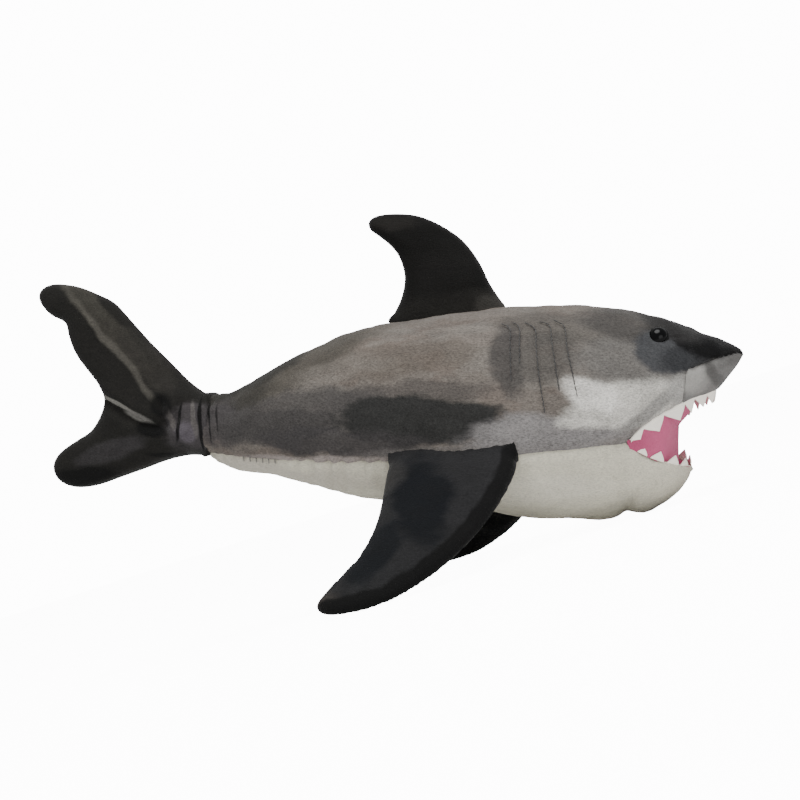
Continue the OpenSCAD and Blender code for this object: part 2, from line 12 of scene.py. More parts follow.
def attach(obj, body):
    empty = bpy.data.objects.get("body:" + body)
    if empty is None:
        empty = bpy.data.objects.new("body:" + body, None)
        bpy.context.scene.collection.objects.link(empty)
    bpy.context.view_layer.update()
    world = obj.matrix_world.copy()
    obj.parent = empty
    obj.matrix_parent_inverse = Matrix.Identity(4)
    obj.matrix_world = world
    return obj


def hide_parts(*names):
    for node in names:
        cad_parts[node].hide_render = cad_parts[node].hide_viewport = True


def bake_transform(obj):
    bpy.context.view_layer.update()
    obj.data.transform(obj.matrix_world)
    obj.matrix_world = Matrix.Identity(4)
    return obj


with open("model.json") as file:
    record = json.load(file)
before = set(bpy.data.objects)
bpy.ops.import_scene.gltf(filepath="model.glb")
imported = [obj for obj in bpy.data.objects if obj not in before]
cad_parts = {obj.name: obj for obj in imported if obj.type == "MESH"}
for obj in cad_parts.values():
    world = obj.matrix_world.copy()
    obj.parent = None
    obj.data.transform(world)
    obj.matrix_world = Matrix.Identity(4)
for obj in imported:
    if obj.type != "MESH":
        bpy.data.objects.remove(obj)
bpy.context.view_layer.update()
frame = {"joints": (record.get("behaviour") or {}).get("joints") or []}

# ---- The level frame: x to the nose, y to the left, z up, in millimetres ----

MM = 0.001
JOINTS = {joint["name"]: joint for joint in frame["joints"]}
SWING = JOINTS["tail_swing"]["axis"]
LEAN = math.atan2(SWING[0], SWING[2])
TURN = np.array([
    [math.cos(LEAN), 0, math.sin(LEAN)],
    [0, 1, 0],
    [-math.sin(LEAN), 0, math.cos(LEAN)],
])
HINGE = np.array([198.0, 0, -30])
SHIFT = np.array(JOINTS["jaw_hinge"]["pos_m"]) - TURN @ HINGE * MM


def to_row(points):
    """Level millimetres to row-frame metres."""
    return np.asarray(points, float) @ TURN.T * MM + SHIFT


# ---- Outlines ----

# Body stations: x, top, widest level, bottom, half width, hem of the side fabric, edge of the side panel
STATIONS = np.array([
    [-166, 2, -24, -50, 24, -48, -48],
    [-140, 9, -24, -61, 33, -48, -48],
    [-105, 27, -20, -66, 47, -50, -50],
    [-65, 47, -16, -72, 60, -49, -49],
    [-20, 61, -12, -83, 71, -49, -49],
    [25, 70, -10, -88, 78, -46, -46],
    [70, 75, -9, -91, 81, -42, -42],
    [113, 78, -8, -94, 81, -39, -39],
    [150, 80, -5, -95, 77, -35, -35],
    [178, 77, -2, -94, 72, -31, -31],
    [198, 74, 1, -87, 66, -28, -28],
    [208, 72, 5, -54, 62, -18, -18],
    [222, 69, 12, -26, 55, -7, -7],
    [238, 63, 21, -7, 46, 2, 2],
    [243, 61, 24, -2, 43, 5, 27],
    [250, 58, 28, 5, 37, 8, 31],
    [259, 55, 32, 10, 29, 11, 35],
    [264, 53, 35, 13, 25, 13, 37],
    [272, 49, 38, 23, 17, 23, 39],
    [278, 46, 40, 31, 10, 31, 41],
    [281, 44, 40, 36, 5, 36, 41],
], float)
SQUARE = 2.2
# Rows where the mouth corner, the snout's underside, the join of the lips and the nose are
CORNER, SNOUT, LIP_END, NOSE = 10, 13, 17, 20
PALATE = np.array([[-37], [-33], [-26], [-10], [2], [11], [13], [12]], float)
# Lower jaw from the mouth corner forward: x, lip, bottom, half width
JAW = np.array([
    [200.5, -32, -88, 62],
    [207, -35, -88, 58],
    [214, -39, -85, 53],
    [222, -43, -80, 47],
    [230, -45, -73, 40],
    [236, -47, -66, 31],
    [240, -48, -60, 20],
    [242, -49, -55, 8],
], float)
GILLS = [
    [[97, 64], [103, 61], [105, 53], [107, 40], [109, 23]],
    [[106, 65], [111, 61], [113, 50], [115, 36]],
    [[116, 65], [124, 60], [127, 46], [131, 25], [136, -2]],
    [[128, 66], [135, 63], [139, 50], [143, 34], [147, 15]],
    [[139, 67], [147, 62], [151, 47], [156, 30], [161, 10]],
]
EYE = (219.5, 56)
EYE_TILT = math.radians(28)


def smooth(rows, t):
    """A point on the smooth curve through the rows, at each fractional row t."""
    rows = np.asarray(rows, float)
    t = np.asarray(t, float)
    i = np.clip(np.floor(t).astype(int), 0, len(rows) - 2)
    f = (t - i)[..., None]
    a = rows[np.maximum(i - 1, 0)]
    b = rows[i]
    c = rows[i + 1]
    d = rows[np.minimum(i + 2, len(rows) - 1)]
    return b + 0.5 * f * ((c - a) + f * ((2 * a - 5 * b + 4 * c - d) + f * (3 * (b - c) + d - a)))


def mix(a, b, f):
    return a + (b - a) * f


def step(x, low, high):
    """0 below low, 1 above high, smooth between."""
    f = np.clip((np.asarray(x, float) - low) / (high - low), 0, 1)
    return f * f * (3 - 2 * f)


def bump(x, middle, width):
    return np.exp(-(((np.asarray(x, float) - middle) / width) ** 2))


def section(s, angle):
    """Point on the left half of a body section, from 0 at the ridge to 180 under the belly."""
    turn = np.radians(angle)
    across = np.maximum(0, np.sin(turn)) ** (2 / SQUARE)
    rise = np.abs(np.cos(turn)) ** (2 / SQUARE)
    z = np.where(
        angle < 90,
        s[..., 2] + (s[..., 1] - s[..., 2]) * rise,
        s[..., 2] - (s[..., 2] - s[..., 3]) * rise,
    )
    return np.stack([s[..., 0] + 0 * z, s[..., 4] * across, z], -1)


def angle_at(s, z):
    up = np.clip((z - s[..., 2]) / (s[..., 1] - s[..., 2]), 0, 1)
    down = np.clip((s[..., 2] - z) / (s[..., 2] - s[..., 3]), 0, 1)
    above = np.degrees(np.arccos(up ** (SQUARE / 2)))
    below = 180 - np.degrees(np.arccos(down ** (SQUARE / 2)))
    return np.where(z >= s[..., 2], above, below)


FINE = np.linspace(0, NOSE, 2001)
FINE_X = smooth(STATIONS, FINE)[:, 0]


def station_of(x):
    return np.interp(x, FINE_X, FINE)


def side_point(x, z):
    """Point on the left flank at that x and height."""
    s = smooth(STATIONS, station_of(x))
    return section(s, angle_at(s, z))


def run_length(points):
    """Distance along each row of points, from its first point."""
    steps = np.linalg.norm(np.diff(points, axis=-2), axis=-1)
    return np.concatenate([0 * steps[..., :1], np.cumsum(steps, axis=-1)], axis=-1)


def even(points, count):
    """Rows of points spaced evenly along each row."""
    made = np.empty((len(points), count, 3))
    for i, row in enumerate(points):
        length = run_length(row)
        at = np.linspace(0, length[-1], count)
        for k in range(3):
            made[i, :, k] = np.interp(at, length, row[:, k])
    return made


def spread(points, spacing):
    """A smooth open path through the points, with a point every spacing."""
    line = smooth(points, np.linspace(0, len(points) - 1, 40 * len(points)))
    length = run_length(line)
    at = np.linspace(0, length[-1], max(3, int(length[-1] / spacing)))
    return np.stack([np.interp(at, length, line[:, k]) for k in range(line.shape[1])], -1)


def mirrored(points):
    return points * np.array([1, -1, 1])


def ripple(points, wavelength, seed, waves=12):
    """Soft random height from -1 to 1 or so over points, with lumps about a wavelength across."""
    rng = np.random.default_rng(seed)
    ways = rng.normal(size=(waves, points.shape[-1]))
    ways /= np.linalg.norm(ways, axis=1)[:, None]
    lengths = wavelength * rng.uniform(0.7, 1.5, waves)
    starts = rng.uniform(0, 2 * math.pi, waves)
    phase = points @ (ways / lengths[:, None] * 2 * math.pi).T + starts
    return np.sin(phase).sum(-1) / math.sqrt(waves / 2) / 1.6


def path_distance(points, path):
    """How far each 2-D point is from a path."""
    best = np.full(points.shape[:-1], 1e9)
    for a, b in zip(path[:-1], path[1:]):
        d = b - a
        f = np.clip(((points - a) @ d) / max(d @ d, 1e-9), 0, 1)
        best = np.minimum(best, np.linalg.norm(points - a - f[..., None] * d, axis=-1))
    return best


# ---- Meshes ----

def grid_faces(rows, cols, start=0):
    i, j = np.meshgrid(np.arange(rows - 1), np.arange(cols - 1), indexing="ij")
    a = (start + i * cols + j).ravel()
    return np.stack([a, a + cols, a + cols + 1, a + 1], -1).tolist()


def grid_normals(grid):
    along = np.gradient(grid, axis=0)
    across = np.gradient(grid, axis=1)
    n = np.cross(along, across)
    return n / np.maximum(np.linalg.norm(n, axis=-1, keepdims=True), 1e-9)


def make_piece(name, points, faces, materials, which=None, weld=0.0):
    """A mesh object from level points, which remembers where its cloth lies at rest."""
    points = np.asarray(points, float).reshape(-1, 3)
    mesh = bpy.data.meshes.new(name)
    mesh.from_pydata(to_row(points).tolist(), [], faces)
    place = mesh.attributes.new("cloth", "FLOAT_VECTOR", "POINT")
    place.data.foreach_set("vector", points.astype(np.float32).ravel())
    for material in materials:
        mesh.materials.append(material)
    if which is not None:
        mesh.polygons.foreach_set("material_index", which)
    mesh.polygons.foreach_set("use_smooth", [True] * len(mesh.polygons))
    obj = bpy.data.objects.new(name, mesh)
    bpy.context.scene.collection.objects.link(obj)
    if weld:
        work = bmesh.new()
        work.from_mesh(mesh)
        bmesh.ops.remove_doubles(work, verts=work.verts, dist=weld * MM)
        work.to_mesh(mesh)
        work.free()
    mesh.update()
    return obj


def slab(front, back):
    """Closed solid between two matching grids, as points and faces."""
    rows, cols = front.shape[:2]
    far = rows * cols
    faces = grid_faces(rows, cols)
    faces += [[q[3], q[2], q[1], q[0]] for q in grid_faces(rows, cols, far)]
    rim = [j for j in range(cols)]
    rim += [i * cols + cols - 1 for i in range(1, rows)]
    rim += [(rows - 1) * cols + j for j in range(cols - 2, -1, -1)]
    rim += [i * cols for i in range(rows - 2, 0, -1)]
    for a, b in zip(rim, rim[1:] + rim[:1]):
        faces.append([a, b, b + far, a + far])
    return np.concatenate([front.reshape(-1, 3), back.reshape(-1, 3)]), faces


# ---- Materials ----

def ink(*card):
    """A linear colour from the 0 to 255 values a dye card shows."""
    shown = [value / 255 for value in card]
    return tuple(c / 12.92 if c <= 0.04045 else ((c + 0.055) / 1.055) ** 2.4 for c in shown) + (1.0,)


class Nodes:
    """Short calls for building a node tree."""

    def __init__(self, tree):
        self.tree = tree

    def feed(self, node, inputs):
        """Sets a node's inputs, by a link or by a value."""
        for key, value in inputs.items():
            socket = node.inputs[key]
            if isinstance(value, bpy.types.NodeSocket):
                self.tree.links.new(value, socket)
            else:
                socket.default_value = value
        return node

    def add(self, kind, inputs=None, **settings):
        node = self.tree.nodes.new(kind)
        for key, value in settings.items():
            setattr(node, key, value)
        return self.feed(node, inputs or {})

    def math(self, operation, a, b=0.0, c=0.0):
        return self.add("ShaderNodeMath", {0: a, 1: b, 2: c}, operation=operation).outputs[0]

    def stray(self, noise, amount, base=0.0):
        """The base value, plus the amount times how far the noise is from its middle."""
        return self.math("MULTIPLY_ADD", self.math("SUBTRACT", noise, 0.5), amount, base)

    def noise(self, place, scale, detail=3.0, roughness=0.5, distortion=0.0):
        return self.add(
            "ShaderNodeTexNoise",
            {
                "Vector": place,
                "Scale": scale,
                "Detail": detail,
                "Roughness": roughness,
                "Distortion": distortion,
            },
        )

    def stretched(self, place, along, across):
        """The place scaled by one value along the body and another across it."""
        return self.add("ShaderNodeMapping", {"Vector": place, "Scale": (along, across, across)}).outputs[0]

    def fade(self, value, low, high, start, end):
        """A smooth change from start to end while the value goes from low to high."""
        return self.add(
            "ShaderNodeMapRange",
            {"Value": value, "From Min": low, "From Max": high, "To Min": start, "To Max": end},
            interpolation_type="SMOOTHSTEP",
        ).outputs[0]

    def colour_mix(self, mask, under, over, blend="MIX"):
        return self.add(
            "ShaderNodeMix", {0: mask, 6: under, 7: over}, data_type="RGBA", blend_type=blend
        ).outputs[2]

    def lit(self, colour, light):
        """The colour times a grey light."""
        grey = self.add("ShaderNodeCombineColor", {0: light, 1: light, 2: light}).outputs[0]
        return self.colour_mix(1.0, colour, grey, "MULTIPLY")


def new_material(name):
    """A material with its node tree's helper and its shader."""
    material = bpy.data.materials.new(name)
    material.use_nodes = True
    return material, Nodes(material.node_tree), material.node_tree.nodes["Principled BSDF"]


def new_group(name, inputs, outputs):
    group = bpy.data.node_groups.new(name, "ShaderNodeTree")
    for label, kind, value in inputs:
        socket = group.interface.new_socket(label, in_out="INPUT", socket_type=kind)
        if value is not None:
            socket.default_value = value
    for label, kind in outputs:
        group.interface.new_socket(label, in_out="OUTPUT", socket_type=kind)
    return group, Nodes(group), group.nodes.new("NodeGroupInput"), group.nodes.new("NodeGroupOutput")


FLOAT, VECTOR, COLOUR = "NodeSocketFloat", "NodeSocketVector", "NodeSocketColor"


def build_patch_group():
    """A patch with a soft, wandering edge, mirrored on both sides of the body: mostly dye, and a few are
    painted shade in creases and painted highlights on ridges.
    """
    group, n, inp, out = new_group(
        "dye_and_painted_light_patch",
        [
            ("Place", VECTOR, None),
            ("Middle X", FLOAT, 0.0),
            ("Middle Z", FLOAT, 0.0),
            ("Half Length", FLOAT, 50.0),
            ("Half Height", FLOAT, 20.0),
            ("Tilt", FLOAT, 0.0),
            ("Softness", FLOAT, 0.3),
            ("Wander", FLOAT, 12.0),
        ],
        [("Mask", FLOAT)],
    )
    place = inp.outputs["Place"]
    broad = n.add("ShaderNodeSeparateXYZ", {0: n.noise(place, 0.028).outputs["Color"]})
    at = n.add("ShaderNodeSeparateXYZ", {0: place})
    moved_x = n.math("MULTIPLY_ADD", n.stray(broad.outputs[0], inp.outputs["Wander"]), 4.0, at.outputs[0])
    moved_z = n.math("MULTIPLY_ADD", n.stray(broad.outputs[1], inp.outputs["Wander"]), 2.5, at.outputs[2])
    dx = n.math("SUBTRACT", moved_x, inp.outputs["Middle X"])
    dz = n.math("SUBTRACT", moved_z, inp.outputs["Middle Z"])
    cos = n.math("COSINE", inp.outputs["Tilt"])
    sin = n.math("SINE", inp.outputs["Tilt"])
    along = n.math("ADD", n.math("MULTIPLY", dx, cos), n.math("MULTIPLY", dz, sin))
    across = n.math("SUBTRACT", n.math("MULTIPLY", dz, cos), n.math("MULTIPLY", dx, sin))
    u = n.math("DIVIDE", along, inp.outputs["Half Length"])
    v = n.math("DIVIDE", across, inp.outputs["Half Height"])
    far = n.math("SQRT", n.math("ADD", n.math("MULTIPLY", u, u), n.math("MULTIPLY", v, v)))
    ragged = n.noise(n.stretched(place, 0.045, 0.12), 1.0, 5.0, 0.6)
    far = n.stray(ragged.outputs["Fac"], 0.62, far)
    near = n.math("SUBTRACT", 1.0, inp.outputs["Softness"])
    wide = n.math("ADD", 1.0, inp.outputs["Softness"])
    n.feed(out, {"Mask": n.fade(far, near, wide, 1.0, 0.0)})
    return group


def build_nap_group():
    """The short brushed pile of plush: light tips, dark roots, strokes where it was smoothed."""
    group, n, inp, out = new_group(
        "plush_nap",
        [
            ("Place", VECTOR, None),
            ("Colour", COLOUR, (0.5, 0.5, 0.5, 1)),
            ("Tip Light", FLOAT, 0.3),
            ("Stroke Light", FLOAT, 0.2),
        ],
        [("Colour", COLOUR), ("Height", FLOAT), ("Roughness", FLOAT)],
    )
    place = inp.outputs["Place"]
    tips = n.noise(n.stretched(place, 0.55, 1.1), 0.8, 4.0, 0.75).outputs["Fac"]
    strokes = n.noise(n.stretched(place, 0.03, 0.09), 1.0, 4.0, 0.6, 0.6).outputs["Fac"]
    light = n.stray(tips, inp.outputs["Tip Light"], 1.0)
    light = n.stray(strokes, inp.outputs["Stroke Light"], light)
    n.feed(
        out,
        {
            "Colour": n.lit(inp.outputs["Colour"], light),
            "Height": n.math("MULTIPLY_ADD", strokes, 0.8, tips),
            "Roughness": n.math("MULTIPLY_ADD", strokes, 0.2, 0.78),
        },
    )
    return group


PATCH = build_patch_group()
NAP = build_nap_group()


def cloth_place(n):
    """Where the cloth lies at rest, with the left side folded onto the right."""
    at = n.add("ShaderNodeAttribute", attribute_name="cloth")
    x, y, z = n.add("ShaderNodeSeparateXYZ", {0: at.outputs["Vector"]}).outputs
    return n.add("ShaderNodeCombineXYZ", {0: x, 1: n.math("ABSOLUTE", y), 2: z}).outputs[0]


PATCH_SHAPE = ("Middle X", "Middle Z", "Half Length", "Half Height", "Tilt", "Softness", "Wander")


def plush(name, colour, patches=(), tips=1.0, strokes=0.4, sheen=0.12, under=None, over=None):
    """Short plush dyed in patches; a few patches are painted shade in creases and painted highlights on
    ridges and bulges.

    A patch is (colour, x, z, half length, half height, tilt in degrees, softness, wander, strength).
    """
    material, n, shader = new_material(name)
    place = cloth_place(n)
    dye_and_painted_light = n.add("ShaderNodeRGB").outputs[0]
    dye_and_painted_light.default_value = ink(*colour)
    if under:
        dye_and_painted_light = under(n, place, dye_and_painted_light)
    for tint, *shape, strength in patches:
        inputs = {label: float(value) for label, value in zip(PATCH_SHAPE, shape)}
        inputs["Tilt"] = math.radians(inputs["Tilt"])
        mask = n.add("ShaderNodeGroup", {"Place": place, **inputs}, node_tree=PATCH).outputs[0]
        # Mixes in each patch's colour: dye for most patches, and painted shade in creases and painted
        # highlights on ridges for a few.
        dye_and_painted_light = n.colour_mix(n.math("MULTIPLY", mask, strength), dye_and_painted_light, ink(*tint))
    if over:
        dye_and_painted_light = over(n, place, dye_and_painted_light)
    nap = n.add(
        "ShaderNodeGroup",
        {"Place": place, "Colour": dye_and_painted_light, "Tip Light": tips, "Stroke Light": strokes},
        node_tree=NAP,
    )
    relief = n.add("ShaderNodeBump", {"Strength": 0.8, "Distance": 0.0009, "Height": nap.outputs["Height"]})
    n.feed(
        shader,
        {
            "Base Color": nap.outputs["Colour"],
            "Roughness": nap.outputs["Roughness"],
            "Normal": relief.outputs[0],
            "Specular IOR Level": 0.15,
            "Sheen Weight": sheen,
            "Sheen Roughness": 0.35,
            "Sheen Tint": (0.8, 0.8, 0.8, 1),
        },
    )
    return material


def back_mottle(n, place, dye_and_painted_light):
    """Slow brown and grey clouds over the whole back, with edges like wet dye."""
    for scale, low, high, tint, strength in (
        (0.014, 0.5, 0.54, (96, 84, 76), 0.3),
        (0.021, 0.53, 0.57, (116, 113, 107), 0.3),
        (0.035, 0.55, 0.59, (76, 72, 69), 0.25),
    ):
        cloud = n.noise(n.stretched(place, scale, scale * 2.2), 1.0, 6.0)
        mask = n.fade(cloud.outputs["Fac"], low, high, 0.0, strength)
        dye_and_painted_light = n.colour_mix(mask, dye_and_painted_light, ink(*tint))
    return dye_and_painted_light


BACK = plush(
    "back_plush",
    (104, 98, 92),
    [
        ((84, 77, 70), 20, 36, 60, 13, 6, 0.25, 6, 0.6),
        ((66, 63, 57), -92, 24, 88, 19, 25, 0.3, 5, 0.85),
        ((50, 48, 44), -138, 2, 36, 28, 20, 0.3, 5, 0.9),
        ((40, 39, 36), -122, 17, 52, 7, 25, 0.3, 4, 0.85),
        ((60, 57, 58), -148, -20, 24, 18, 10, 0.3, 4, 0.85),
        ((108, 103, 97), -40, 27, 44, 9, 14, 0.35, 6, 0.55),
        ((74, 70, 67), 20, 6, 70, 13, 6, 0.25, 6, 0.8),
        ((66, 64, 63), -76, -12, 80, 20, 12, 0.25, 7, 0.8),
        ((43, 43, 42), 34, -12, 74, 20, 0, 0.14, 8, 1.0),
        ((60, 58, 57), -92, -22, 54, 14, 6, 0.25, 8, 0.85),
        ((58, 56, 56), -34, -32, 76, 12, 0, 0.25, 7, 0.9),
        ((98, 94, 92), 40, -39, 60, 5, 2, 0.4, 4, 0.7),
        ((74, 71, 67), 150, 60, 60, 12, -6, 0.3, 6, 0.7),
        ((58, 56, 55), 104, 36, 14, 28, 12, 0.3, 5, 0.8),
        ((72, 70, 67), 134, 38, 26, 20, 0, 0.35, 5, 0.75),
        ((122, 119, 118), 140, -22, 66, 17, 4, 0.25, 6, 0.95),
        ((184, 181, 174), 196, 3, 48, 18, 12, 0.2, 6, 0.97),
        # painted highlight: a whiter spot on top of the cheek bulge
        ((206, 203, 197), 172, 10, 22, 12, -20, 0.3, 4, 0.9),
        ((122, 120, 117), 218, -1, 30, 4.6, 37, 0.35, 3, 0.85),
        ((150, 148, 144), 240, 14, 11, 16, 0, 0.5, 2, 0.9),
        ((148, 139, 135), -20, -48, 150, 4.5, 1, 0.4, 3, 0.85),
        ((92, 90, 87), 200, 36, 44, 18, -4, 0.3, 4, 0.85),
        ((62, 60, 58), 204, 64, 46, 14, -8, 0.3, 4, 0.85),
        ((58, 59, 61), 226, 44, 25, 17, -18, 0.2, 4, 0.97),
        ((46, 47, 49), 244, 38, 20, 11, 0, 0.25, 3, 0.97),
        ((8, 8, 9), 258, 58, 42, 21, -25, 0.16, 3, 1.0),
        ((36, 35, 35), 228, 64, 26, 10, -20, 0.3, 3, 0.9),
        # painted shade: near-black lines in the two wrinkle grooves at the body's rear end
        ((8, 8, 8), -159, -18, 1.5, 17, 8, 0.3, 1, 0.9),
        ((10, 10, 10), -151, -16, 1.0, 12, 8, 0.3, 1, 0.7),
    ],
    tips=2.2,
    strokes=0.6,
    under=back_mottle,
)
BELLY = plush(
    "belly_plush",
    (198, 194, 177),
    [
        ((184, 180, 166), 205, -80, 24, 10, 0, 0.5, 6, 0.6),
        ((208, 204, 190), 120, -66, 60, 12, 0, 0.5, 6, 0.6),
        ((178, 172, 160), -60, -64, 60, 8, 0, 0.5, 6, 0.6),
        ((172, 166, 156), -130, -54, 36, 8, 0, 0.5, 4, 0.6),
    ],
    tips=1.1,
    strokes=0.25,
)
SNOUT_PLUSH = plush(
    "snout_plush",
    (104, 103, 101),
    [
        ((150, 148, 144), 246, 22, 12, 12, 0, 0.4, 3, 0.85),
        # painted shadow: a dark line in the crease of the snout's underside
        ((78, 77, 75), 262, 24, 4, 14, 20, 0.4, 2, 0.8),
        ((82, 81, 79), 278, 38, 9, 7, 0, 0.4, 3, 0.6),
    ],
)
TAIL_PLUSH = plush(
    "tail_plush",
    (28, 27, 25),
    [
        ((56, 54, 49), -262, 66, 72, 9, -46, 0.25, 4, 0.85),
        ((42, 40, 37), -222, 34, 40, 10, -44, 0.3, 4, 0.75),
        ((86, 83, 77), -246, 38, 70, 3.0, -48, 0.6, 3, 0.6),
        ((50, 48, 49), -252, -46, 34, 9, 20, 0.3, 4, 0.75),
        ((60, 57, 58), -176, -24, 28, 20, 12, 0.22, 5, 0.95),
        ((92, 87, 93), -182, -30, 9, 9, 10, 0.35, 3, 0.7),
        # painted highlights: pale lines on the wrinkle ridges of the tail's base
        ((98, 94, 91), -174, -18, 2.6, 15, 8, 0.3, 2, 0.55),
        ((98, 94, 91), -196, -16, 2.6, 11, 20, 0.3, 2, 0.5),
        ((128, 126, 120), -246, -6, 18, 2.0, -24, 0.35, 1, 0.9),
        ((116, 114, 110), -226, -17, 15, 3.4, -20, 0.35, 1, 0.85),
        # painted shadow: a near-black pocket under the fold between the tail's lobes
        ((7, 7, 7), -214, -27, 15, 6, -12, 0.3, 2, 0.95),
        ((9, 9, 9), -290, -72, 44, 9, 10, 0.3, 3, 0.9),
        ((8, 8, 8), -204, -6, 9, 10, 50, 0.3, 2, 0.9),
        # painted shade: near-black lines in the wrinkle grooves of the tail's base
        ((8, 8, 8), -188, -20, 1.8, 17, -8, 0.3, 1, 0.95),
        ((8, 8, 8), -168, -22, 1.8, 26, 4, 0.3, 1, 0.95),
        ((8, 8, 8), -190, -50, 30, 2.6, -4, 0.3, 1, 0.9),
    ],
    tips=1.4,
    strokes=0.9,
)
DORSAL_PLUSH = plush(
    "dorsal_plush",
    (13, 12, 11),
    [
        ((32, 31, 29), 45, 78, 52, 12, 8, 0.35, 6, 0.85),
        ((22, 21, 20), 40, 104, 24, 22, 40, 0.4, 7, 0.6),
        ((56, 54, 51), 78, 78, 14, 8, 20, 0.4, 4, 0.7),
        ((32, 30, 28), -5, 146, 20, 6, 0, 0.4, 4, 0.6),
    ],
    tips=1.2,
    strokes=0.8,
)


def leading_band(n, place, dye_and_painted_light):
    """The black underside wraps round the leading edge in a band."""
    lead = n.add("ShaderNodeAttribute", attribute_name="lead").outputs["Fac"]
    drift = n.noise(place, 0.06).outputs["Fac"]
    mask = n.fade(n.stray(drift, 9.0, lead), 9.0, 13.0, 0.97, 0.0)
    return n.colour_mix(mask, dye_and_painted_light, ink(10, 10, 10))


FIN_PLUSH = plush(
    "fin_plush",
    (32, 32, 33),
    [
        ((9, 12, 16), 44, -72, 34, 24, -62, 0.3, 8, 0.92),
        ((11, 14, 18), 12, -112, 28, 14, 50, 0.3, 7, 0.85),
        ((52, 50, 48), -10, -90, 40, 9, 58, 0.3, 5, 0.75),
        ((62, 57, 52), -42, -158, 28, 14, 20, 0.35, 5, 0.85),
        ((46, 45, 44), 8, -56, 18, 12, 0, 0.35, 5, 0.65),
    ],
    tips=1.5,
    strokes=1.0,
    over=leading_band,
)
UNDERFIN_PLUSH = plush(
    "underfin_plush",
    (13, 12, 12),
    [((26, 25, 24), 20, -90, 40, 14, -50, 0.4, 8, 0.5)],
)
LINING = plush(
    "mouth_lining",
    (190, 92, 126),
    # painted shade: darker lining deep in the mouth corners
    [((160, 66, 98), 202, -28, 12, 14, 0, 0.6, 4, 0.6)],
    tips=0.4,
    strokes=0.2,
)


def plain_finish(name, colour, roughness, specular=0.5, sheen=0.0, grain=1500.0, grain_depth=0.1, shade=0.2):
    """A small part's finish with fine grain on its own place."""
    material, n, shader = new_material(name)
    place = n.add("ShaderNodeTexCoord").outputs["Object"]
    fine = n.noise(place, grain, 3.0, 0.6).outputs["Fac"]
    broad = n.noise(place, grain / 12, 2.0).outputs["Fac"]
    light = n.stray(broad, shade, n.stray(fine, shade, 1.0))
    relief = n.add("ShaderNodeBump", {"Strength": grain_depth, "Distance": 0.0004, "Height": fine})
    n.feed(
        shader,
        {
            "Base Color": n.lit(ink(*colour), light),
            "Normal": relief.outputs[0],
            "Roughness": roughness,
            "Specular IOR Level": specular,
            "Sheen Weight": sheen,
        },
    )
    return material


FELT = plain_finish("white_felt", (250, 244, 232), 0.95, grain=900.0, grain_depth=0.6, shade=0.12)
EYE_BLACK = plain_finish(
    "eye_plastic", (3, 3, 4), 0.14, specular=0.12, grain=300.0, grain_depth=0.0, shade=0.1
)
THREAD_GRAIN = {"sheen": 0.2, "grain": 2600.0, "grain_depth": 0.8}
DARK_THREAD = plain_finish("dark_thread", (28, 27, 27), 0.6, shade=0.5, **THREAD_GRAIN)
PALE_THREAD = plain_finish("pale_thread", (120, 118, 112), 0.7, shade=0.4, **THREAD_GRAIN)

# ---- Body skin ----

def gill_depth(points):
    flat = points[..., [0, 2]]
    return np.min([path_distance(flat, spread(np.array(g, float), 3)) for g in GILLS], axis=0)


def fabric_relief(points, from_seam, from_ridge):
    """How far the stuffed fabric stands out of the plain section, in millimetres."""
    x, y, z = points[..., 0], points[..., 1], points[..., 2]
    out = 1.4 * ripple(points, 85, 3) + 0.6 * ripple(points, 32, 5) + 0.2 * ripple(points, 12, 7)
    out -= 2.6 * np.exp(-((from_seam / 3.4) ** 1.5))
    out -= 0.8 * np.exp(-((from_ridge / 2.6) ** 1.5))
    pull = np.sin(x * 0.72 + 1.6 * np.sin(x * 0.11) + np.sign(y)) * np.exp(-(((from_seam - 5) / 7) ** 2))
    out += 0.42 * pull
    gathers = step(x, -90, -60) * (1 - step(x, -10, 15)) * (z < -40)
    out += 2.0 * gathers * np.sin(x * 0.42 + 0.9 * np.sin(x * 0.16)) * np.exp(-from_seam / 24)
    end = x + 166
    out -= 0.7 * np.exp(-((end / 3.2) ** 2))
    out += 0.7 * np.sin(z * 0.35 + 2 * np.sin(z * 0.1)) * np.exp(-(((end - 5) / 9) ** 2))
    for middle, depth, width in ((-159, 2.4, 2.2), (-151, 1.2, 2.0)):
        out -= depth * bump(x, middle + 2.5 * np.sin(z * 0.12), width) * bump(z, -18, 22)
    out += 1.2 * bump(x, -155, 2.5) * bump(z, -18, 20)
    return out


def head_relief(points):
    x, y, z = points[..., 0], points[..., 1], points[..., 2]
    out = 2.2 * bump(x, 178, 26) * bump(z, 4, 20) * (np.abs(y) > 30)
    eye = side_point(np.array(EYE[0]), np.array(float(EYE[1])))
    far = np.linalg.norm(points[..., [0, 2]] - eye[[0, 2]], axis=-1)
    socket = np.exp(-((far / 9) ** 2)) * (np.abs(y) > 15)
    out -= 2.0 * socket
    out += 1.5 * bump(far, 15, 5) * (z > 56) * (np.abs(y) > 15)
    fold = path_distance(points[..., [0, 2]], np.array([[200.0, -24], [206, -8], [216, 6], [226, 12]]))
    out -= 2.0 * np.exp(-((fold / 2.6) ** 2)) * (np.abs(y) > 30)
    brow = path_distance(points[..., [0, 2]], np.array([[163.0, 14], [168, 2], [174, -8], [184, -14]]))
    out -= 1.5 * np.exp(-((brow / 3) ** 2)) * (np.abs(y) > 30)
    out -= 1.1 * np.exp(-((gill_depth(points) / 1.8) ** 2)) * (np.abs(y) > 30)
    return out


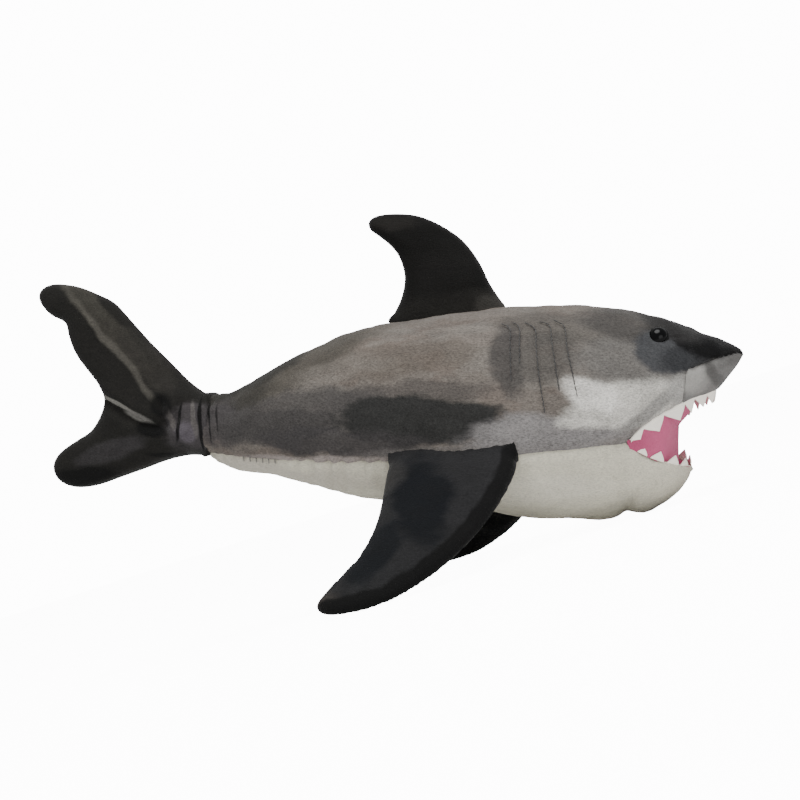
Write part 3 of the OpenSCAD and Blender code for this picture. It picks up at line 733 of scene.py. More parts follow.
body_t = np.concatenate([station_of(np.arange(-166, 196.1, 2)), station_of(np.arange(197.4, 262, 1.4))])
body_t = np.concatenate([body_t[body_t < LIP_END - 0.05], np.arange(LIP_END, NOSE + 0.01, 0.1)])
ROWS = smooth(STATIONS, body_t)
hem = angle_at(ROWS, ROWS[:, 5])
edge = angle_at(ROWS, np.maximum(ROWS[:, 5], ROWS[:, 6]))
HALF = 76
half = even(section(ROWS[:, None, :], edge[:, None] * np.linspace(0, 1, 240)), HALF)
side = np.concatenate([mirrored(half)[:, ::-1][:, :-1], half], axis=1)
ridge_half = run_length(half)
from_ridge = np.concatenate([ridge_half[:, ::-1][:, :-1], ridge_half], axis=1)
from_seam = ridge_half[:, -1:] - from_ridge

belly_rows = int(np.searchsorted(body_t, CORNER, side="right"))
BELLY_HALF = 40
under = section(ROWS[:belly_rows, None, :], mix(hem[:belly_rows, None], 180, np.linspace(0, 1, 120)))
jaw_t = np.concatenate([np.arange(0, 4, 0.16), np.arange(4, 7.01, 0.1)])


def jaw_section(t, turn):
    """Left half of the lower jaw, from the lip at 0 to its bottom at 1."""
    j = smooth(JAW, t)
    angle = np.radians(90 * turn)
    y = j[..., 3] * np.cos(angle) ** (2 / SQUARE)
    z = j[..., 1] - (j[..., 1] - j[..., 2]) * np.sin(angle) ** (2 / SQUARE)
    return np.stack([j[..., 0] + 0 * z, y, z], -1)


turns = np.linspace(0, 1, 120)
front = jaw_section(jaw_t[:, None], turns[None, :])
throat = front[0] - front[0, :, [0]].T * np.array([1, 0, 0])
share = step(ROWS[:belly_rows, 0], 176, 201)[:, None, None]
placed = throat[None] + ROWS[:belly_rows, 0][:, None, None] * np.array([1.0, 0, 0])
under = mix(under, placed, share)
tip = np.array([
    mix(front[-1], [243.6, 0, -51.8], 0.35),
    mix(front[-1], [244.0, 0, -51.8], 0.7),
    mix(front[-1], [244.2, 0, -51.8], 0.98),
])
tip[:, :, 0] = np.array([243.2, 244.0, 244.3])[:, None]
belly_half = even(np.concatenate([under, front, tip]), BELLY_HALF)
belly = np.concatenate([belly_half, mirrored(belly_half)[:, ::-1][:, 1:]], axis=1)
seam_half = run_length(belly_half)
belly_from_seam = np.concatenate([seam_half, seam_half[:, ::-1][:, 1:]], axis=1)

side_n = grid_normals(side)
belly_n = grid_normals(belly)
for here, there in ((0, -1), (-1, 0)):
    shared = side_n[:belly_rows, here] + belly_n[:belly_rows, there]
    shared /= np.linalg.norm(shared, axis=-1, keepdims=True)
    side_n[:belly_rows, here] = shared
    belly_n[:belly_rows, there] = shared

lip_fade = 1 - 0.6 * step(side[..., 0], 196, 210)
side_out = fabric_relief(side, from_seam / lip_fade, from_ridge) + head_relief(side)
side_out *= 1 - 0.7 * step(side[..., 0], 262, 280)
side_out *= 1 - 0.85 * bump(side[..., 0], 241, 5)
side_skin = side + side_n * side_out[..., None]
jaw_fade = 1 - 0.55 * step(belly[..., 0], 194, 206)
belly_out = fabric_relief(belly, belly_from_seam / jaw_fade, 1e3)
belly_out *= 1 - 0.5 * step(belly[..., 0], 225, 243)
pucker = np.linalg.norm(belly[..., [0, 2]] - [181, -40], axis=-1)
belly_out -= 1.6 * bump(pucker, 0, 5)
notch = 190 + 0.006 * belly[..., 1] ** 2
belly_out -= 2.6 * bump(belly[..., 0], notch, 5) * step(-belly[..., 2], 55, 80)
belly_skin = belly + belly_n * belly_out[..., None]
for here, there in ((0, -1), (-1, 0)):
    belly_skin[:belly_rows, there] = side_skin[:belly_rows, here]


def rolled(grid, rises, ins):
    """Adds columns past both edges that roll inwards, as a turned hem does."""
    left, right = [], []
    for rise, inward in zip(rises, ins):
        for store, edge_line in ((left, grid[:, 0]), (right, grid[:, -1])):
            moved = edge_line.copy()
            moved[:, 1] -= np.sign(edge_line[:, 1]) * np.minimum(inward, np.abs(edge_line[:, 1]))
            moved[:, 2] += rise
            store.append(moved)
    return np.concatenate([np.stack(left[::-1], 1), grid, np.stack(right, 1)], axis=1)


UPPER_ROLL = ((-0.5, -0.3, 1.0, 3.4), (0.8, 2.0, 3.0, 3.6))
LOWER_ROLL = ((0.5, 0.3, -1.0, -3.4), (0.8, 2.0, 3.0, 3.6))
nose_tip = np.array([283.2, 0, 40.0])
side_rolled = rolled(side_skin, *UPPER_ROLL)
cap = mix(side_rolled[-1:], nose_tip, 0.6)
cap[..., 0] = 282.7
side_rolled = np.concatenate([side_rolled, cap, cap * 0 + nose_tip])
middle = side_rolled.shape[1] // 2
sides = {}
for name, part, node in (
    ("right_side", side_rolled[:, : middle + 1], "right_side_panel"),
    ("left_side", side_rolled[:, middle:], "left_side_panel"),
):
    sides[name] = make_piece(name, part, grid_faces(*part.shape[:2]), [BACK])
    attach(sides[name], "root")
    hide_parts(node)
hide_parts("body_stuffing", "eye_washer_right")
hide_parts("eye_washer_left")

belly_rolled = rolled(belly_skin, *LOWER_ROLL)
belly_piece = make_piece("belly_and_jaw", belly_rolled, grid_faces(*belly_rolled.shape[:2]), [BELLY])
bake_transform(belly_piece)
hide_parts("belly_panel", "lower_jaw_panel", "jaw_stuffing")

# ---- Snout underside ----

on_snout = body_t >= SNOUT + 0.1
snout_t = body_t[on_snout]
S = smooth(STATIONS, snout_t)
first = angle_at(S, np.maximum(S[:, 5], S[:, 6]))
last = np.maximum(angle_at(S, S[:, 5]), first + 1.5)
snout_half = even(section(S[:, None, :], mix(first[:, None], last[:, None], np.linspace(0, 1, 80))), 26)
snout_n = grid_normals(snout_half)
snout_arc = run_length(snout_half)
snout_out = 0.7 * ripple(snout_half, 26, 9) - 1.4 * np.exp(-((snout_arc / 3.0) ** 1.5))
crease = path_distance(snout_half[..., [0, 2]], np.array([[258.0, 24], [266, 20], [272, 26]]))
snout_out -= 1.3 * np.exp(-((crease / 3) ** 2))
snout_out *= 1 - 0.8 * step(S[:, 0], 266, 280)[:, None]
snout_out *= 1 - 0.85 * bump(S[:, 0], 241, 5)[:, None]
at_middle = step(snout_half[..., 1], 0, 3)
snout_skin = snout_half + snout_n * (snout_out * at_middle)[..., None]
edge_rows = side_skin[on_snout][:, -1]
settle = np.exp(-snout_arc / 3)[..., None]
snout_skin += (edge_rows - snout_skin[:, 0])[:, None, :] * settle
snout_skin[..., 1] = np.maximum(snout_skin[..., 1], 0)
snout_roll = []
for rise, inward in zip(*UPPER_ROLL):
    moved = snout_skin[:, -1].copy()
    moved[:, 1] -= np.minimum(inward, moved[:, 1])
    moved[:, 2] += rise * (moved[:, 1] > 0.5)
    snout_roll.append(moved)
snout_left = np.concatenate([snout_skin, np.stack(snout_roll, 1)], axis=1)
snout_left = np.concatenate([snout_left, mix(snout_left[-1:], nose_tip, 0.6), snout_left[-1:] * 0 + nose_tip])
snout_right = mirrored(snout_left)[:, ::-1]
rows, cols = snout_left.shape[:2]
snout = make_piece(
    "snout_underside",
    np.concatenate([snout_left.reshape(-1, 3), snout_right.reshape(-1, 3)]),
    grid_faces(rows, cols) + grid_faces(rows, cols, rows * cols),
    [SNOUT_PLUSH],
    weld=0.05,
)
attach(snout, "root")
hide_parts("snout_panel")

# ---- Mouth lining ----

LINING_IN = 2.8  # from the lip's edge to the lining's
MOUTH_DIP = 8  # how far the floor of the mouth hangs under the lip
THROAT_WALL = 230.0  # x where the back of the mouth shows
v = np.linspace(-1, 1, 41)
palate_t = np.linspace(LIP_END - 0.5, CORNER, 44)
P = smooth(STATIONS, palate_t)
lip = section(P, angle_at(P, P[:, 5]))
palate_mid = smooth(PALATE, palate_t - CORNER)[:, 0]
pocket = []
for (x, y, z), top in zip(lip, palate_mid):
    wide = max(y - LINING_IN, 0.6)
    pocket.append(np.stack([x + 0 * v, wide * v, mix(top, z + 1.5, v * v)], -1))
jaw_rows = smooth(JAW, np.linspace(0, 6.9, 34))
low = [
    np.stack(
        [
            x + 0 * v,
            (wide - LINING_IN) * v,
            z - 1.2 - min(MOUTH_DIP, (z - bottom) * 0.3) * (1 - v * v),
        ],
        -1,
    )
    for x, z, bottom, wide in jaw_rows
]
for f in np.linspace(0.15, 0.85, 6):
    pocket.append(mix(pocket[len(palate_t) - 1], low[0], f))
pocket = np.array(pocket + low)
pocket[..., 0] += np.maximum(0, THROAT_WALL - pocket[..., 0]) * (1 - v ** 4)
pocket += grid_normals(pocket) * (0.6 * ripple(pocket, 18, 21) * (1 - v * v)[None, :])[..., None]
lining = make_piece("mouth_lining", pocket, grid_faces(*pocket.shape[:2]), [LINING])
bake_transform(lining)
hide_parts("upper_mouth_lining", "lower_mouth_lining")


# ---- Fins and tail: two shaped panels sewn round an outline and stuffed ----

TAIL_OUTLINE = [
    (-171, 4), (-185, 14), (-203, 31), (-221, 48), (-239, 67), (-252, 80), (-266, 87), (-285, 94),
    (-303, 96.5), (-314, 95), (-321, 90), (-322, 83), (-317, 75), (-310, 69), (-301, 65), (-297, 61),
    (-295, 52), (-291, 41),
    (-285, 31), (-276, 20), (-268, 10), (-263, -1), (-264, -11), (-269, -22), (-276, -31), (-287, -38),
    (-298, -45), (-306, -52), (-310, -60), (-309, -68), (-303, -75), (-292, -79), (-279, -79), (-265, -76),
    (-251, -71), (-237, -66), (-223, -61), (-210, -56), (-197, -52), (-184, -49.5), (-172, -49.5),
]
DORSAL_OUTLINE = [
    (88, 80), (84, 85), (76, 97), (68, 113), (59, 126), (50, 135), (38, 143), (26, 149), (14, 153),
    (0, 154.5), (-14, 154), (-23, 151.5), (-27, 147), (-25, 141), (-18, 136), (-9, 129), (-2, 121),
    (2, 112), (4, 102),
    (3, 92), (0, 82), (-5, 72),
]
# Along the fin's base, and out from it
PECTORAL_OUTLINE = [
    (107, 4), (107, 14), (104, 26), (99, 40), (92, 56), (81, 74), (66, 93), (48, 111), (26, 127), (2, 137),
    (-18, 141), (-28, 141), (-35, 138), (-38, 132), (-35, 125), (-30, 117), (-22, 106), (-14, 95), (-8, 84),
    (-4, 72), (-1, 56), (0, 40), (0, 24), (0, 12), (1, 4),
]


def sewn_fin(outline, base, thickness, round_off, spacing, relief):
    """Points (across the sheet as y) and faces of a closed stuffed fin.

    The base edge joins the outline's ends.
    """
    free = spread(np.array(outline, float), spacing)
    foot = spread(np.array([outline[-1], *base, outline[0]], float), spacing)[1:-1]
    loop = np.concatenate([free, foot])
    low, high = loop.min(0), loop.max(0)
    across = np.arange(low[0], high[0], spacing)
    rows = np.arange(low[1], high[1], spacing * 0.866)
    grid = np.array([(x + spacing / 2 * (k % 2), z) for k, z in enumerate(rows) for x in across])
    inside = np.zeros(len(grid), bool)
    for a, b in zip(loop, np.roll(loop, -1, axis=0)):
        between = (a[1] > grid[:, 1]) != (b[1] > grid[:, 1])
        cut = a[0] + (grid[:, 1] - a[1]) * (b[0] - a[0]) / ((b[1] - a[1]) or 1e-9)
        inside ^= between & (grid[:, 0] < cut)
    closed = np.concatenate([loop, loop[:1]])
    grid = grid[inside & (path_distance(grid, closed) > spacing * 0.6)]
    flat = np.concatenate([loop, grid])
    count = len(loop)
    verts, _, faces, _, _, _ = delaunay_2d_cdt(
        [Vector(p) for p in flat], [], [list(range(count))], 1, 1e-4
    )
    flat = np.array([v[:] for v in verts])
    in_free = path_distance(flat, free)
    half = thickness(flat[:, 0], flat[:, 1])
    reach = np.minimum(in_free / round_off(flat[:, 0], flat[:, 1]), 1)
    dome = np.sqrt(np.maximum(0, 1 - (1 - reach) ** 2))
    sheets = []
    for way in (-1, 1):
        at = np.stack([flat[:, 0], 0 * half, flat[:, 1]], -1)
        y = half * dome
        y = y + relief(at, way, in_free) * np.minimum(in_free / 6, 1)
        at[:, 1] = way * np.maximum(y, 0)
        sheets.append(at)
    loop_edge = in_free < 1e-3
    index = np.arange(len(flat))
    other = np.where(loop_edge, index, index + len(flat))
    made = []
    for i, j, k in faces:
        ahead, aside = flat[j] - flat[i], flat[k] - flat[i]
        tri = [i, j, k] if ahead[0] * aside[1] > ahead[1] * aside[0] else [i, k, j]
        made.append(tri)
        made.append([int(other[corner]) for corner in reversed(tri)])
    points = np.concatenate(sheets)
    base_line = np.concatenate([free[-1:], foot, free[:1]])
    on_foot = [int(k) for k in np.where(path_distance(flat, base_line) < 1e-3)[0]]
    order = sorted(on_foot, key=lambda k: np.argmin(np.linalg.norm(base_line - flat[k], axis=1)))
    for a, b in zip(order, order[1:]):
        ring = [b, a, int(other[a]), int(other[b])]
        face = [k for i, k in enumerate(ring) if k not in ring[:i]]
        if len(face) > 2:
            made.append(face)
    used = np.unique([k for f in made for k in f])
    new = {int(k): i for i, k in enumerate(used)}
    return points[used], [[new[int(k)] for k in f] for f in made]


def table(stops):
    xs, ys = zip(*sorted(stops))
    return lambda x: np.interp(x, xs, ys)


def seam_pull(at, way, in_free, seed, size=0.5):
    """Small gathers beside the edge seam and slow lumps in the filling."""
    p = at + np.array([0, 40.0 * way, 0])
    along = ripple(p, 16, seed) * np.exp(-((in_free - 5) / 6) ** 2)
    return size * (1.1 * ripple(p, 48, seed + 1) + 0.5 * ripple(p, 22, seed + 2) + 0.8 * along)


tail_low = table([(-160, 24), (-166, 24), (-175, 22.4), (-186, 20), (-204, 17.5), (-224, 15), (-242, 12.5),
                  (-257, 11), (-272, 10), (-296, 8), (-322, 5)])
tail_high = table([(0, 11.5), (30, 11), (55, 10), (80, 8.5), (97, 6)])


def tail_thickness(x, z):
    return mix(tail_low(x), np.minimum(tail_high(z), tail_low(x)), step(z, 0, 22))


def tail_round(x, z):
    return np.interp(x, [-322, -290, -250, -210, -186, -166], [12, 15, 18, 21, 24, 26])


FOLD = np.array([[-262.0, -2], [-240, -14], [-222, -22], [-205, -24], [-192, -18]])


def tail_relief(at, way, in_free):
    flat = at[:, [0, 2]]
    x, z = at[:, 0], at[:, 2]
    out = seam_pull(at, way, in_free, 31, 0.6)
    fold = path_distance(flat, FOLD)
    out -= 4.2 * np.exp(-((fold / 4.5) ** 2)) * (1 - step(x, -205, -190) * 0.7)
    out += 1.8 * bump(fold, 9, 5)
    for middle, depth, width in ((-168, 1.6, 2.0), (-178, 1.6, 2.4), (-188, 3.0, 2.2), (-202, 3.2, 3.0)):
        out -= depth * bump(x, middle + 3 * np.sin(z * 0.1 + middle), width) * bump(z, -20, 20)
    out += 1.1 * bump(x, -193, 4) * bump(z, -22, 18) + 0.9 * bump(x, -174, 3) * bump(z, -24, 18)
    end = -166 - x
    out -= 0.7 * np.exp(-((end / 3) ** 2)) * (end > -6)
    return out


TAIL_BASE = [(-163, -47), (-162, -24), (-163, 1)]
tail = make_piece(
    "tail_fin",
    *sewn_fin(TAIL_OUTLINE, TAIL_BASE, tail_thickness, tail_round, 2.4, tail_relief),
    [TAIL_PLUSH],
)
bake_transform(tail)
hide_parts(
    "tail_right_panel", "tail_left_panel", "tail_stuffing",
    "lobe_right_panel", "lobe_left_panel", "lobe_stuffing",
)

dorsal_half = table([(60, 9), (70, 9.6), (85, 10), (110, 9.5), (130, 8), (145, 6), (155, 4)])
DORSAL_BASE = [(-7, 64), (20, 62), (60, 66), (86, 70)]
dorsal = make_piece(
    "dorsal_fin",
    *sewn_fin(
        DORSAL_OUTLINE,
        DORSAL_BASE,
        lambda x, z: dorsal_half(z),
        lambda x, z: np.interp(z, [70, 110, 140, 155], [20, 18, 13, 9]),
        2.1,
        lambda at, way, d: seam_pull(at, way, d, 51, 0.55),
    ),
    [DORSAL_PLUSH],
)
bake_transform(dorsal)
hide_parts("dorsal_right_panel", "dorsal_left_panel", "dorsal_stuffing")

DROOP = math.radians(50)


def hem_at(x):
    s = smooth(STATIONS, station_of(x))
    return section(s, angle_at(s, s[5]))


rear, fore = hem_at(8.0), hem_at(114.0)
ALONG = (fore - rear) / np.linalg.norm(fore - rear)
drop = np.array([0, math.cos(DROOP), -math.sin(DROOP)])
OUT = drop - ALONG * (drop @ ALONG)
OUT /= np.linalg.norm(OUT)
FACE = np.cross(ALONG, OUT)
PECTORAL_BASE = [(4, -9), (30, -12), (80, -12), (104, -9)]
LEADING_EDGE = spread(np.array(PECTORAL_OUTLINE[:12], float), 2)
fin_half = table([(-20, 10), (0, 9.5), (20, 10), (60, 9.5), (95, 8.5), (125, 7), (141, 5)])
for hand, way in (("right", -1), ("left", 1)):
    points, faces = sewn_fin(
        PECTORAL_OUTLINE,
        PECTORAL_BASE,
        lambda p, q: fin_half(q),
        lambda p, q: np.interp(q, [0, 60, 120, 141], [22, 21, 16, 10]),
        2.3,
        lambda at, side_way, d: seam_pull(at, side_way, d, 71 if way < 0 else 81, 0.6),
    )
    p, y, q = points.T
    placed = rear + ALONG * p[:, None] + OUT * q[:, None] + FACE * y[:, None]
    if way < 0:
        placed = mirrored(placed)
        faces = [f[::-1] for f in faces]
    below = [int(y[f].mean() < 0) for f in faces]
    name = hand + "_fin"
    fin = make_piece(name, placed, faces, [FIN_PLUSH, UNDERFIN_PLUSH], which=below)
    lead = path_distance(np.stack([p, q], -1), LEADING_EDGE)
    fin.data.attributes.new("lead", "FLOAT", "POINT").data.foreach_set("value", lead.astype(np.float32))
    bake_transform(fin)
    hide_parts(f"pectoral_upper_{hand}", f"pectoral_lower_{hand}", f"pectoral_stuffing_{hand}")

# ---- Eyes ----

EYE_SUNK = 1.0


def eye_dome(way):
    """A turned dome with a small flat rim, sunk a little into the fabric."""
    at = side_point(np.array(EYE[0]), np.array(float(EYE[1])))
    out = np.array([0, math.cos(EYE_TILT), math.sin(EYE_TILT)])
    side_axis = np.array([1.0, 0, 0])
    up_axis = np.cross(out, side_axis)
    profile = [(8.2, -2.4), (8.3, -0.9), (7.9, -0.3), (7.3, 0.1)]
    bend = np.linspace(0.02, 1, 14)
    profile += [(7.2 * math.cos(b * math.pi / 2), 0.2 + 4.5 * math.sin(b * math.pi / 2)) for b in bend[:-1]]
    around = np.linspace(0, 2 * math.pi, 48, endpoint=False)
    circle = side_axis * np.cos(around)[:, None] + up_axis * np.sin(around)[:, None]
    rings = [at + circle * r + out * (h - EYE_SUNK) for r, h in profile]
    points = np.concatenate(rings + [[at + 3.7 * out], [at - 3.4 * out]])
    n = len(around)
    faces = []
    for i in range(len(rings) - 1):
        for j in range(n):
            k = (j + 1) % n
            faces.append([i * n + j, i * n + k, (i + 1) * n + k, (i + 1) * n + j])
    top, bottom, end = len(rings) * n, len(rings) * n + 1, (len(rings) - 1) * n
    faces += [[end + j, end + (j + 1) % n, top] for j in range(n)]
    faces += [[(j + 1) % n, j, bottom] for j in range(n)]
    if way < 0:
        points = mirrored(points)
        faces = [f[::-1] for f in faces]
    return points, faces


for hand, way in (("right", -1), ("left", 1)):
    eye = make_piece(f"eye_dome_{hand}", *eye_dome(way), [EYE_BLACK])
    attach(eye, "root")
    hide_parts(f"eye_{hand}")

# ---- Felt teeth ----

FELT_THICK = 1.6


def tooth(rear_end, front_end, point, inward):
    """One felt tooth, cut with slightly bowed edges and a blunt point."""
    u = np.linspace(0, 0.97, 10)[:, None, None]
    w = np.linspace(0, 1, 9)[None, :, None]
    left = mix(rear_end, point, u)
    right = mix(front_end, point, u)
    bow = 0.09 * np.sin(np.pi * u)
    flat = mix(mix(left, right, -bow), mix(left, right, 1 + bow), w)
    curl = inward * (1.2 * u ** 2 - 0.4 * np.sin(np.pi * w))
    skin = FELT_THICK * (0.72 + 0.28 * np.sin(np.pi * w)) * (1 - 0.35 * u)
    near = flat + curl
    points, faces = slab(near, near + inward * skin)
    turn = np.cross(near[0, -1] - near[0, 0], near[-1, 0] - near[0, 0]) @ inward
    return points, [f[::-1] for f in faces] if turn < 0 else faces


def join(parts):
    points, faces, start = [], [], 0
    for p, f in parts:
        points.append(p)
        faces += [[k + start for k in face] for face in f]
        start += len(p)
    return np.concatenate(points), faces


def tooth_row(marks, sizes, line, rise):
    """Teeth between pairs of marks along a lip line, on both sides."""
    parts = []
    for way in (-1, 1):
        for (a, b), size in zip(marks, sizes):
            rear_end, front_end = line(a) * [1, way, 1], line(b) * [1, way, 1]
            run = front_end - rear_end
            inward = np.cross([0, 0, 1], run)
            inward *= -np.sign(inward[1] * way) / np.linalg.norm(inward)
            point = mix(rear_end, front_end, 0.85) + np.array([0, 0, rise * size])
            parts.append(tooth(rear_end, front_end, point, inward))
    return parts


def upper_line(t):
    s = smooth(STATIONS, np.array(float(t)))
    p = section(s, angle_at(s, s[5]))
    return np.array([p[0], max(p[1] - 1.6, 0), p[2] + 0.8])


def lower_line(t):
    j = smooth(JAW, np.array(float(t)))
    return np.array([j[0], j[3] - 1.6, j[1] - 0.6])


def felt_band(line, marks, way, rise):
    """The strip the teeth are cut from, along one side's lip."""
    top = np.array([line(t) * [1, way, 1] for t in marks])
    inward = np.array([0, -way, 0]) * FELT_THICK
    face = np.stack([top + [0, way * 0.4, 0.6], top + [0, way * 0.4, rise]], 1)
    points, faces = slab(face, face + inward)
    return points, faces if way > 0 else [f[::-1] for f in faces]


UPPER_MARKS = [(10.2, 11.2), (11.1, 12.2), (12.1, 13.3), (13.2, 14.6), (14.5, 15.6), (15.5, 16.45)]
upper = tooth_row(UPPER_MARKS, [0.75, 1.15, 1.2, 1.1, 1.0, 0.95], upper_line, -12.0)
upper += [felt_band(upper_line, np.linspace(10.3, 16.45, 40), way, -3.0) for way in (-1, 1)]
ends = [upper_line(16.48) * [1, way, 1] for way in (-1, 1)]
front_point = (ends[0] + ends[1]) / 2 - [0, 0, 10.5]
upper.append(tooth(ends[0], ends[1], front_point, np.array([-1.0, 0, 0])))
upper_teeth = make_piece("upper_felt_teeth", *join(upper), [FELT])
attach(upper_teeth, "root")
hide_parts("upper_teeth")
LOWER_MARKS = [(0.9, 1.9), (2.2, 3.4), (3.7, 4.9), (5.2, 6.4)]
lower_teeth = make_piece(
    "lower_felt_teeth", *join(tooth_row(LOWER_MARKS, [0.5, 0.65, 0.62, 0.5], lower_line, 13.0)), [FELT]
)
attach(lower_teeth, "jaw")
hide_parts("lower_teeth")

# ---- Threads, laid stitch by stitch along their lines ----


def build_stitch_tree():
    """Long rounded stitches end to end along a path."""
    tree = bpy.data.node_groups.new("stitches_along_line", "GeometryNodeTree")
    inputs = {}
    for label, kind, value in (
        ("Line", "NodeSocketGeometry", None),
        ("Pitch", FLOAT, 0.005),
        ("Stitch Length", FLOAT, 0.005),
        ("Thread", FLOAT, 0.0012),
        ("Waver", FLOAT, 0.12),
        ("Material", "NodeSocketMaterial", None),
    ):
        socket = tree.interface.new_socket(label, in_out="INPUT", socket_type=kind)
        if value is not None:
            socket.default_value = value
        inputs[label] = socket.identifier
    tree.interface.new_socket("Stitches", in_out="OUTPUT", socket_type="NodeSocketGeometry")
    n = Nodes(tree)
    inp = tree.nodes.new("NodeGroupInput")
    out = tree.nodes.new("NodeGroupOutput")
    spaced = n.add("GeometryNodeResampleCurve", {"Curve": inp.outputs["Line"]}, mode="LENGTH")
    tree.links.new(inp.outputs["Pitch"], spaced.inputs["Length"])
    bead = n.add("GeometryNodeMeshUVSphere", {"Segments": 8, "Rings": 6, "Radius": 0.5})
    tangent = n.add("GeometryNodeInputTangent")
    jitter = n.add("FunctionNodeRandomValue", {"Seed": 4}, data_type="FLOAT_VECTOR")
    jitter.inputs[0].default_value = (-1, -1, -1)
    jitter.inputs[1].default_value = (1, 1, 1)
    wavered = n.add(
        "ShaderNodeVectorMath", {0: jitter.outputs[0], 3: inp.outputs["Waver"]}, operation="SCALE"
    )
    way = n.add("ShaderNodeVectorMath", {0: tangent.outputs[0], 1: wavered.outputs[0]}, operation="ADD")
    turned = n.add("FunctionNodeAlignRotationToVector", {"Vector": way.outputs[0]}, axis="X")
    size = n.add(
        "ShaderNodeCombineXYZ",
        {0: inp.outputs["Stitch Length"], 1: inp.outputs["Thread"], 2: inp.outputs["Thread"]},
    )
    laid = n.add(
        "GeometryNodeInstanceOnPoints",
        {
            "Points": spaced.outputs[0],
            "Instance": bead.outputs[0],
            "Rotation": turned.outputs[0],
            "Scale": size.outputs[0],
        },
    )
    real = n.add("GeometryNodeRealizeInstances", {0: laid.outputs[0]})
    finished = n.add(
        "GeometryNodeSetMaterial", {"Geometry": real.outputs[0], "Material": inp.outputs["Material"]}
    )
    tree.links.new(finished.outputs[0], out.inputs[0])
    return tree, inputs


STITCHES, STITCH_INPUTS = build_stitch_tree()


def stitch_piece(name, lines, pitch, length, thread, material, waver=0.1):
    curve = bpy.data.curves.new(name + "_line", "CURVE")
    curve.dimensions = "3D"
    for line in lines:
        spline = curve.splines.new("POLY")
        spline.points.add(len(line) - 1)
        row = to_row(line)
        spline.points.foreach_set("co", np.concatenate([row, np.ones((len(row), 1))], axis=1).ravel())
    holder = bpy.data.objects.new(name + "_line", curve)
    bpy.context.scene.collection.objects.link(holder)
    modifier = holder.modifiers.new("stitches", "NODES")
    modifier.node_group = STITCHES
    modifier[STITCH_INPUTS["Pitch"]] = pitch
    modifier[STITCH_INPUTS["Stitch Length"]] = length
    modifier[STITCH_INPUTS["Thread"]] = thread
    modifier[STITCH_INPUTS["Waver"]] = waver
    modifier[STITCH_INPUTS["Material"]] = material
    bpy.context.view_layer.update()
    seen = holder.evaluated_get(bpy.context.evaluated_depsgraph_get())
    mesh = bpy.data.meshes.new_from_object(seen)
    bpy.data.objects.remove(holder)
    obj = bpy.data.objects.new(name, mesh)
    mesh.polygons.foreach_set("use_smooth", [True] * len(mesh.polygons))
    bpy.context.scene.collection.objects.link(obj)
    return obj


def gill_line(gill, way):
    flat = spread(np.array(gill, float), 1.5)
    line = side_point(flat[:, 0], flat[:, 1])
    line[:, 1] += 0.1
    return line * [1, way, 1]


for hand, way in (("right", -1), ("left", 1)):
    gills = stitch_piece(
        f"gill_threads_{hand}", [gill_line(g, way) for g in GILLS],
        pitch=0.0046, length=0.0056, thread=0.0009, material=DARK_THREAD, waver=0.16,
    )
    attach(gills, "root")
    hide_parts(f"gill_stitches_{hand}")

snout_edges = []
for way in (-1, 1):
    line = side_skin[body_t >= 14.05][:-6, 0 if way < 0 else -1].copy()
    line[:, 1] += way * 1.0
    line[:, 2] += 0.3
    snout_edges.append(line)
snout_seam = stitch_piece(
    "snout_seam_stitches", snout_edges,
    pitch=0.0044, length=0.003, thread=0.0007, material=DARK_THREAD, waver=0.5,
)
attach(snout_seam, "root")
lip_edges = []
for way in (-1, 1):
    edge_line = side_skin[(body_t > 10.4) & (body_t < 13.0)][:, 0 if way < 0 else -1].copy()
    edge_line[:, 1] += way * 0.5
    edge_line[:, 2] += 1.0
    lip_edges.append(edge_line)
lip_seam = stitch_piece(
    "lip_seam_stitches", lip_edges,
    pitch=0.0052, length=0.0026, thread=0.0007, material=PALE_THREAD, waver=0.5,
)
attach(lip_seam, "root")

closing = []
for i in range(6):
    x = -128 + 6 * i
    here = side_skin[np.argmin(np.abs(side_skin[:, 0, 0] - x)), 0]
    closing.append(here + np.array([[-0.8, -2.0, 2.6], [0, -1.1, 0.9], [0.4, -1.0, -0.6], [0.9, -1.8, -2.6]]))
ladder = stitch_piece(
    "closing_threads", [spread(c, 0.8) for c in closing],
    pitch=0.0018, length=0.0026, thread=0.0011, material=PALE_THREAD,
)
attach(ladder, "root")
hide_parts("closing_stitches")

# ---- Floor, lights and camera ----


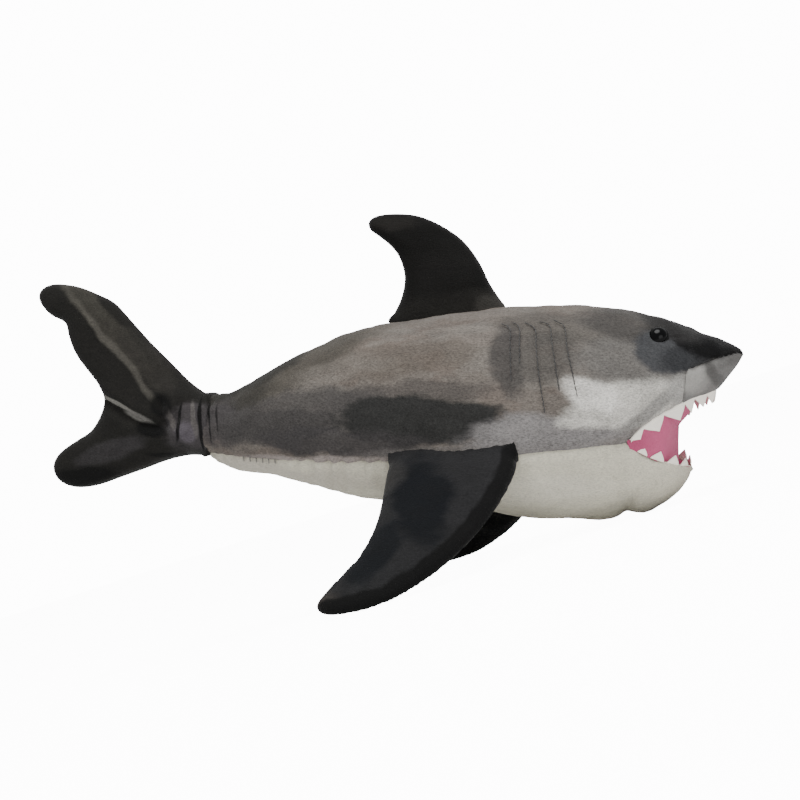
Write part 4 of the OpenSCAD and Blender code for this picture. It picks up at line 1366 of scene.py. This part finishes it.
def stage_material():
    """Pale floor that the camera sees a little brighter than its light makes it."""
    material, n, shader = new_material("pale_floor")
    seen = n.add("ShaderNodeLightPath").outputs["Is Camera Ray"]
    n.feed(
        shader,
        {
            "Base Color": (0.9, 0.9, 0.9, 1),
            "Roughness": 0.9,
            "Emission Color": (1, 1, 1, 1),
            "Emission Strength": n.math("MULTIPLY", seen, 12.0),
        },
    )
    return material


floor_mesh = bpy.data.meshes.new("studio_floor")
floor_mesh.from_pydata([(-6, -6, 0), (6, -6, 0), (6, 6, 0), (-6, 6, 0)], [], [(0, 1, 2, 3)])
floor_mesh.materials.append(stage_material())
floor = bpy.data.objects.new("studio_floor", floor_mesh)
bpy.context.scene.collection.objects.link(floor)

world = bpy.data.worlds.new("studio")
world.use_nodes = True
sky = Nodes(world.node_tree)
camera_sees = sky.add("ShaderNodeLightPath").outputs["Is Camera Ray"]
sky.feed(
    world.node_tree.nodes["Background"],
    {"Color": (1, 1, 1, 1), "Strength": sky.math("MULTIPLY_ADD", camera_sees, 13.0, 0.7)},
)
bpy.context.scene.world = world


def lamp(name, place, target, size, power):
    light = bpy.data.lights.new(name, "AREA")
    light.shape = "DISK"
    light.size = size
    light.energy = power
    obj = bpy.data.objects.new(name, light)
    bpy.context.scene.collection.objects.link(obj)
    at = Vector(to_row(place))
    way = Vector(to_row(target)) - at
    obj.matrix_world = Matrix.Translation(at) @ way.to_track_quat("-Z", "Y").to_matrix().to_4x4()
    return obj


lamp("top_light", [-100, -500, 1500], [0, 0, 0], 1.0, 26)
lamp("front_light", [900, -1500, 500], [60, 0, 0], 1.2, 10)

AZIMUTH, HEIGHT, DISTANCE = math.radians(14), math.radians(3), 1800.0
toward = np.array([
    math.sin(AZIMUTH) * math.cos(HEIGHT), -math.cos(AZIMUTH) * math.cos(HEIGHT), math.sin(HEIGHT)
])
camera_data = bpy.data.cameras.new("camera")
camera_data.sensor_width = 36
camera_data.lens = 97.3
camera = bpy.data.objects.new("camera", camera_data)
bpy.context.scene.collection.objects.link(camera)
back = Vector(TURN @ toward)
right = Vector(TURN @ np.array([math.cos(AZIMUTH), math.sin(AZIMUTH), 0]))
up = back.cross(right)
camera.matrix_world = Matrix.Translation(Vector(to_row(toward * DISTANCE))) @ Matrix(
    (right, up, back)
).transposed().to_4x4()
bpy.context.scene.camera = camera
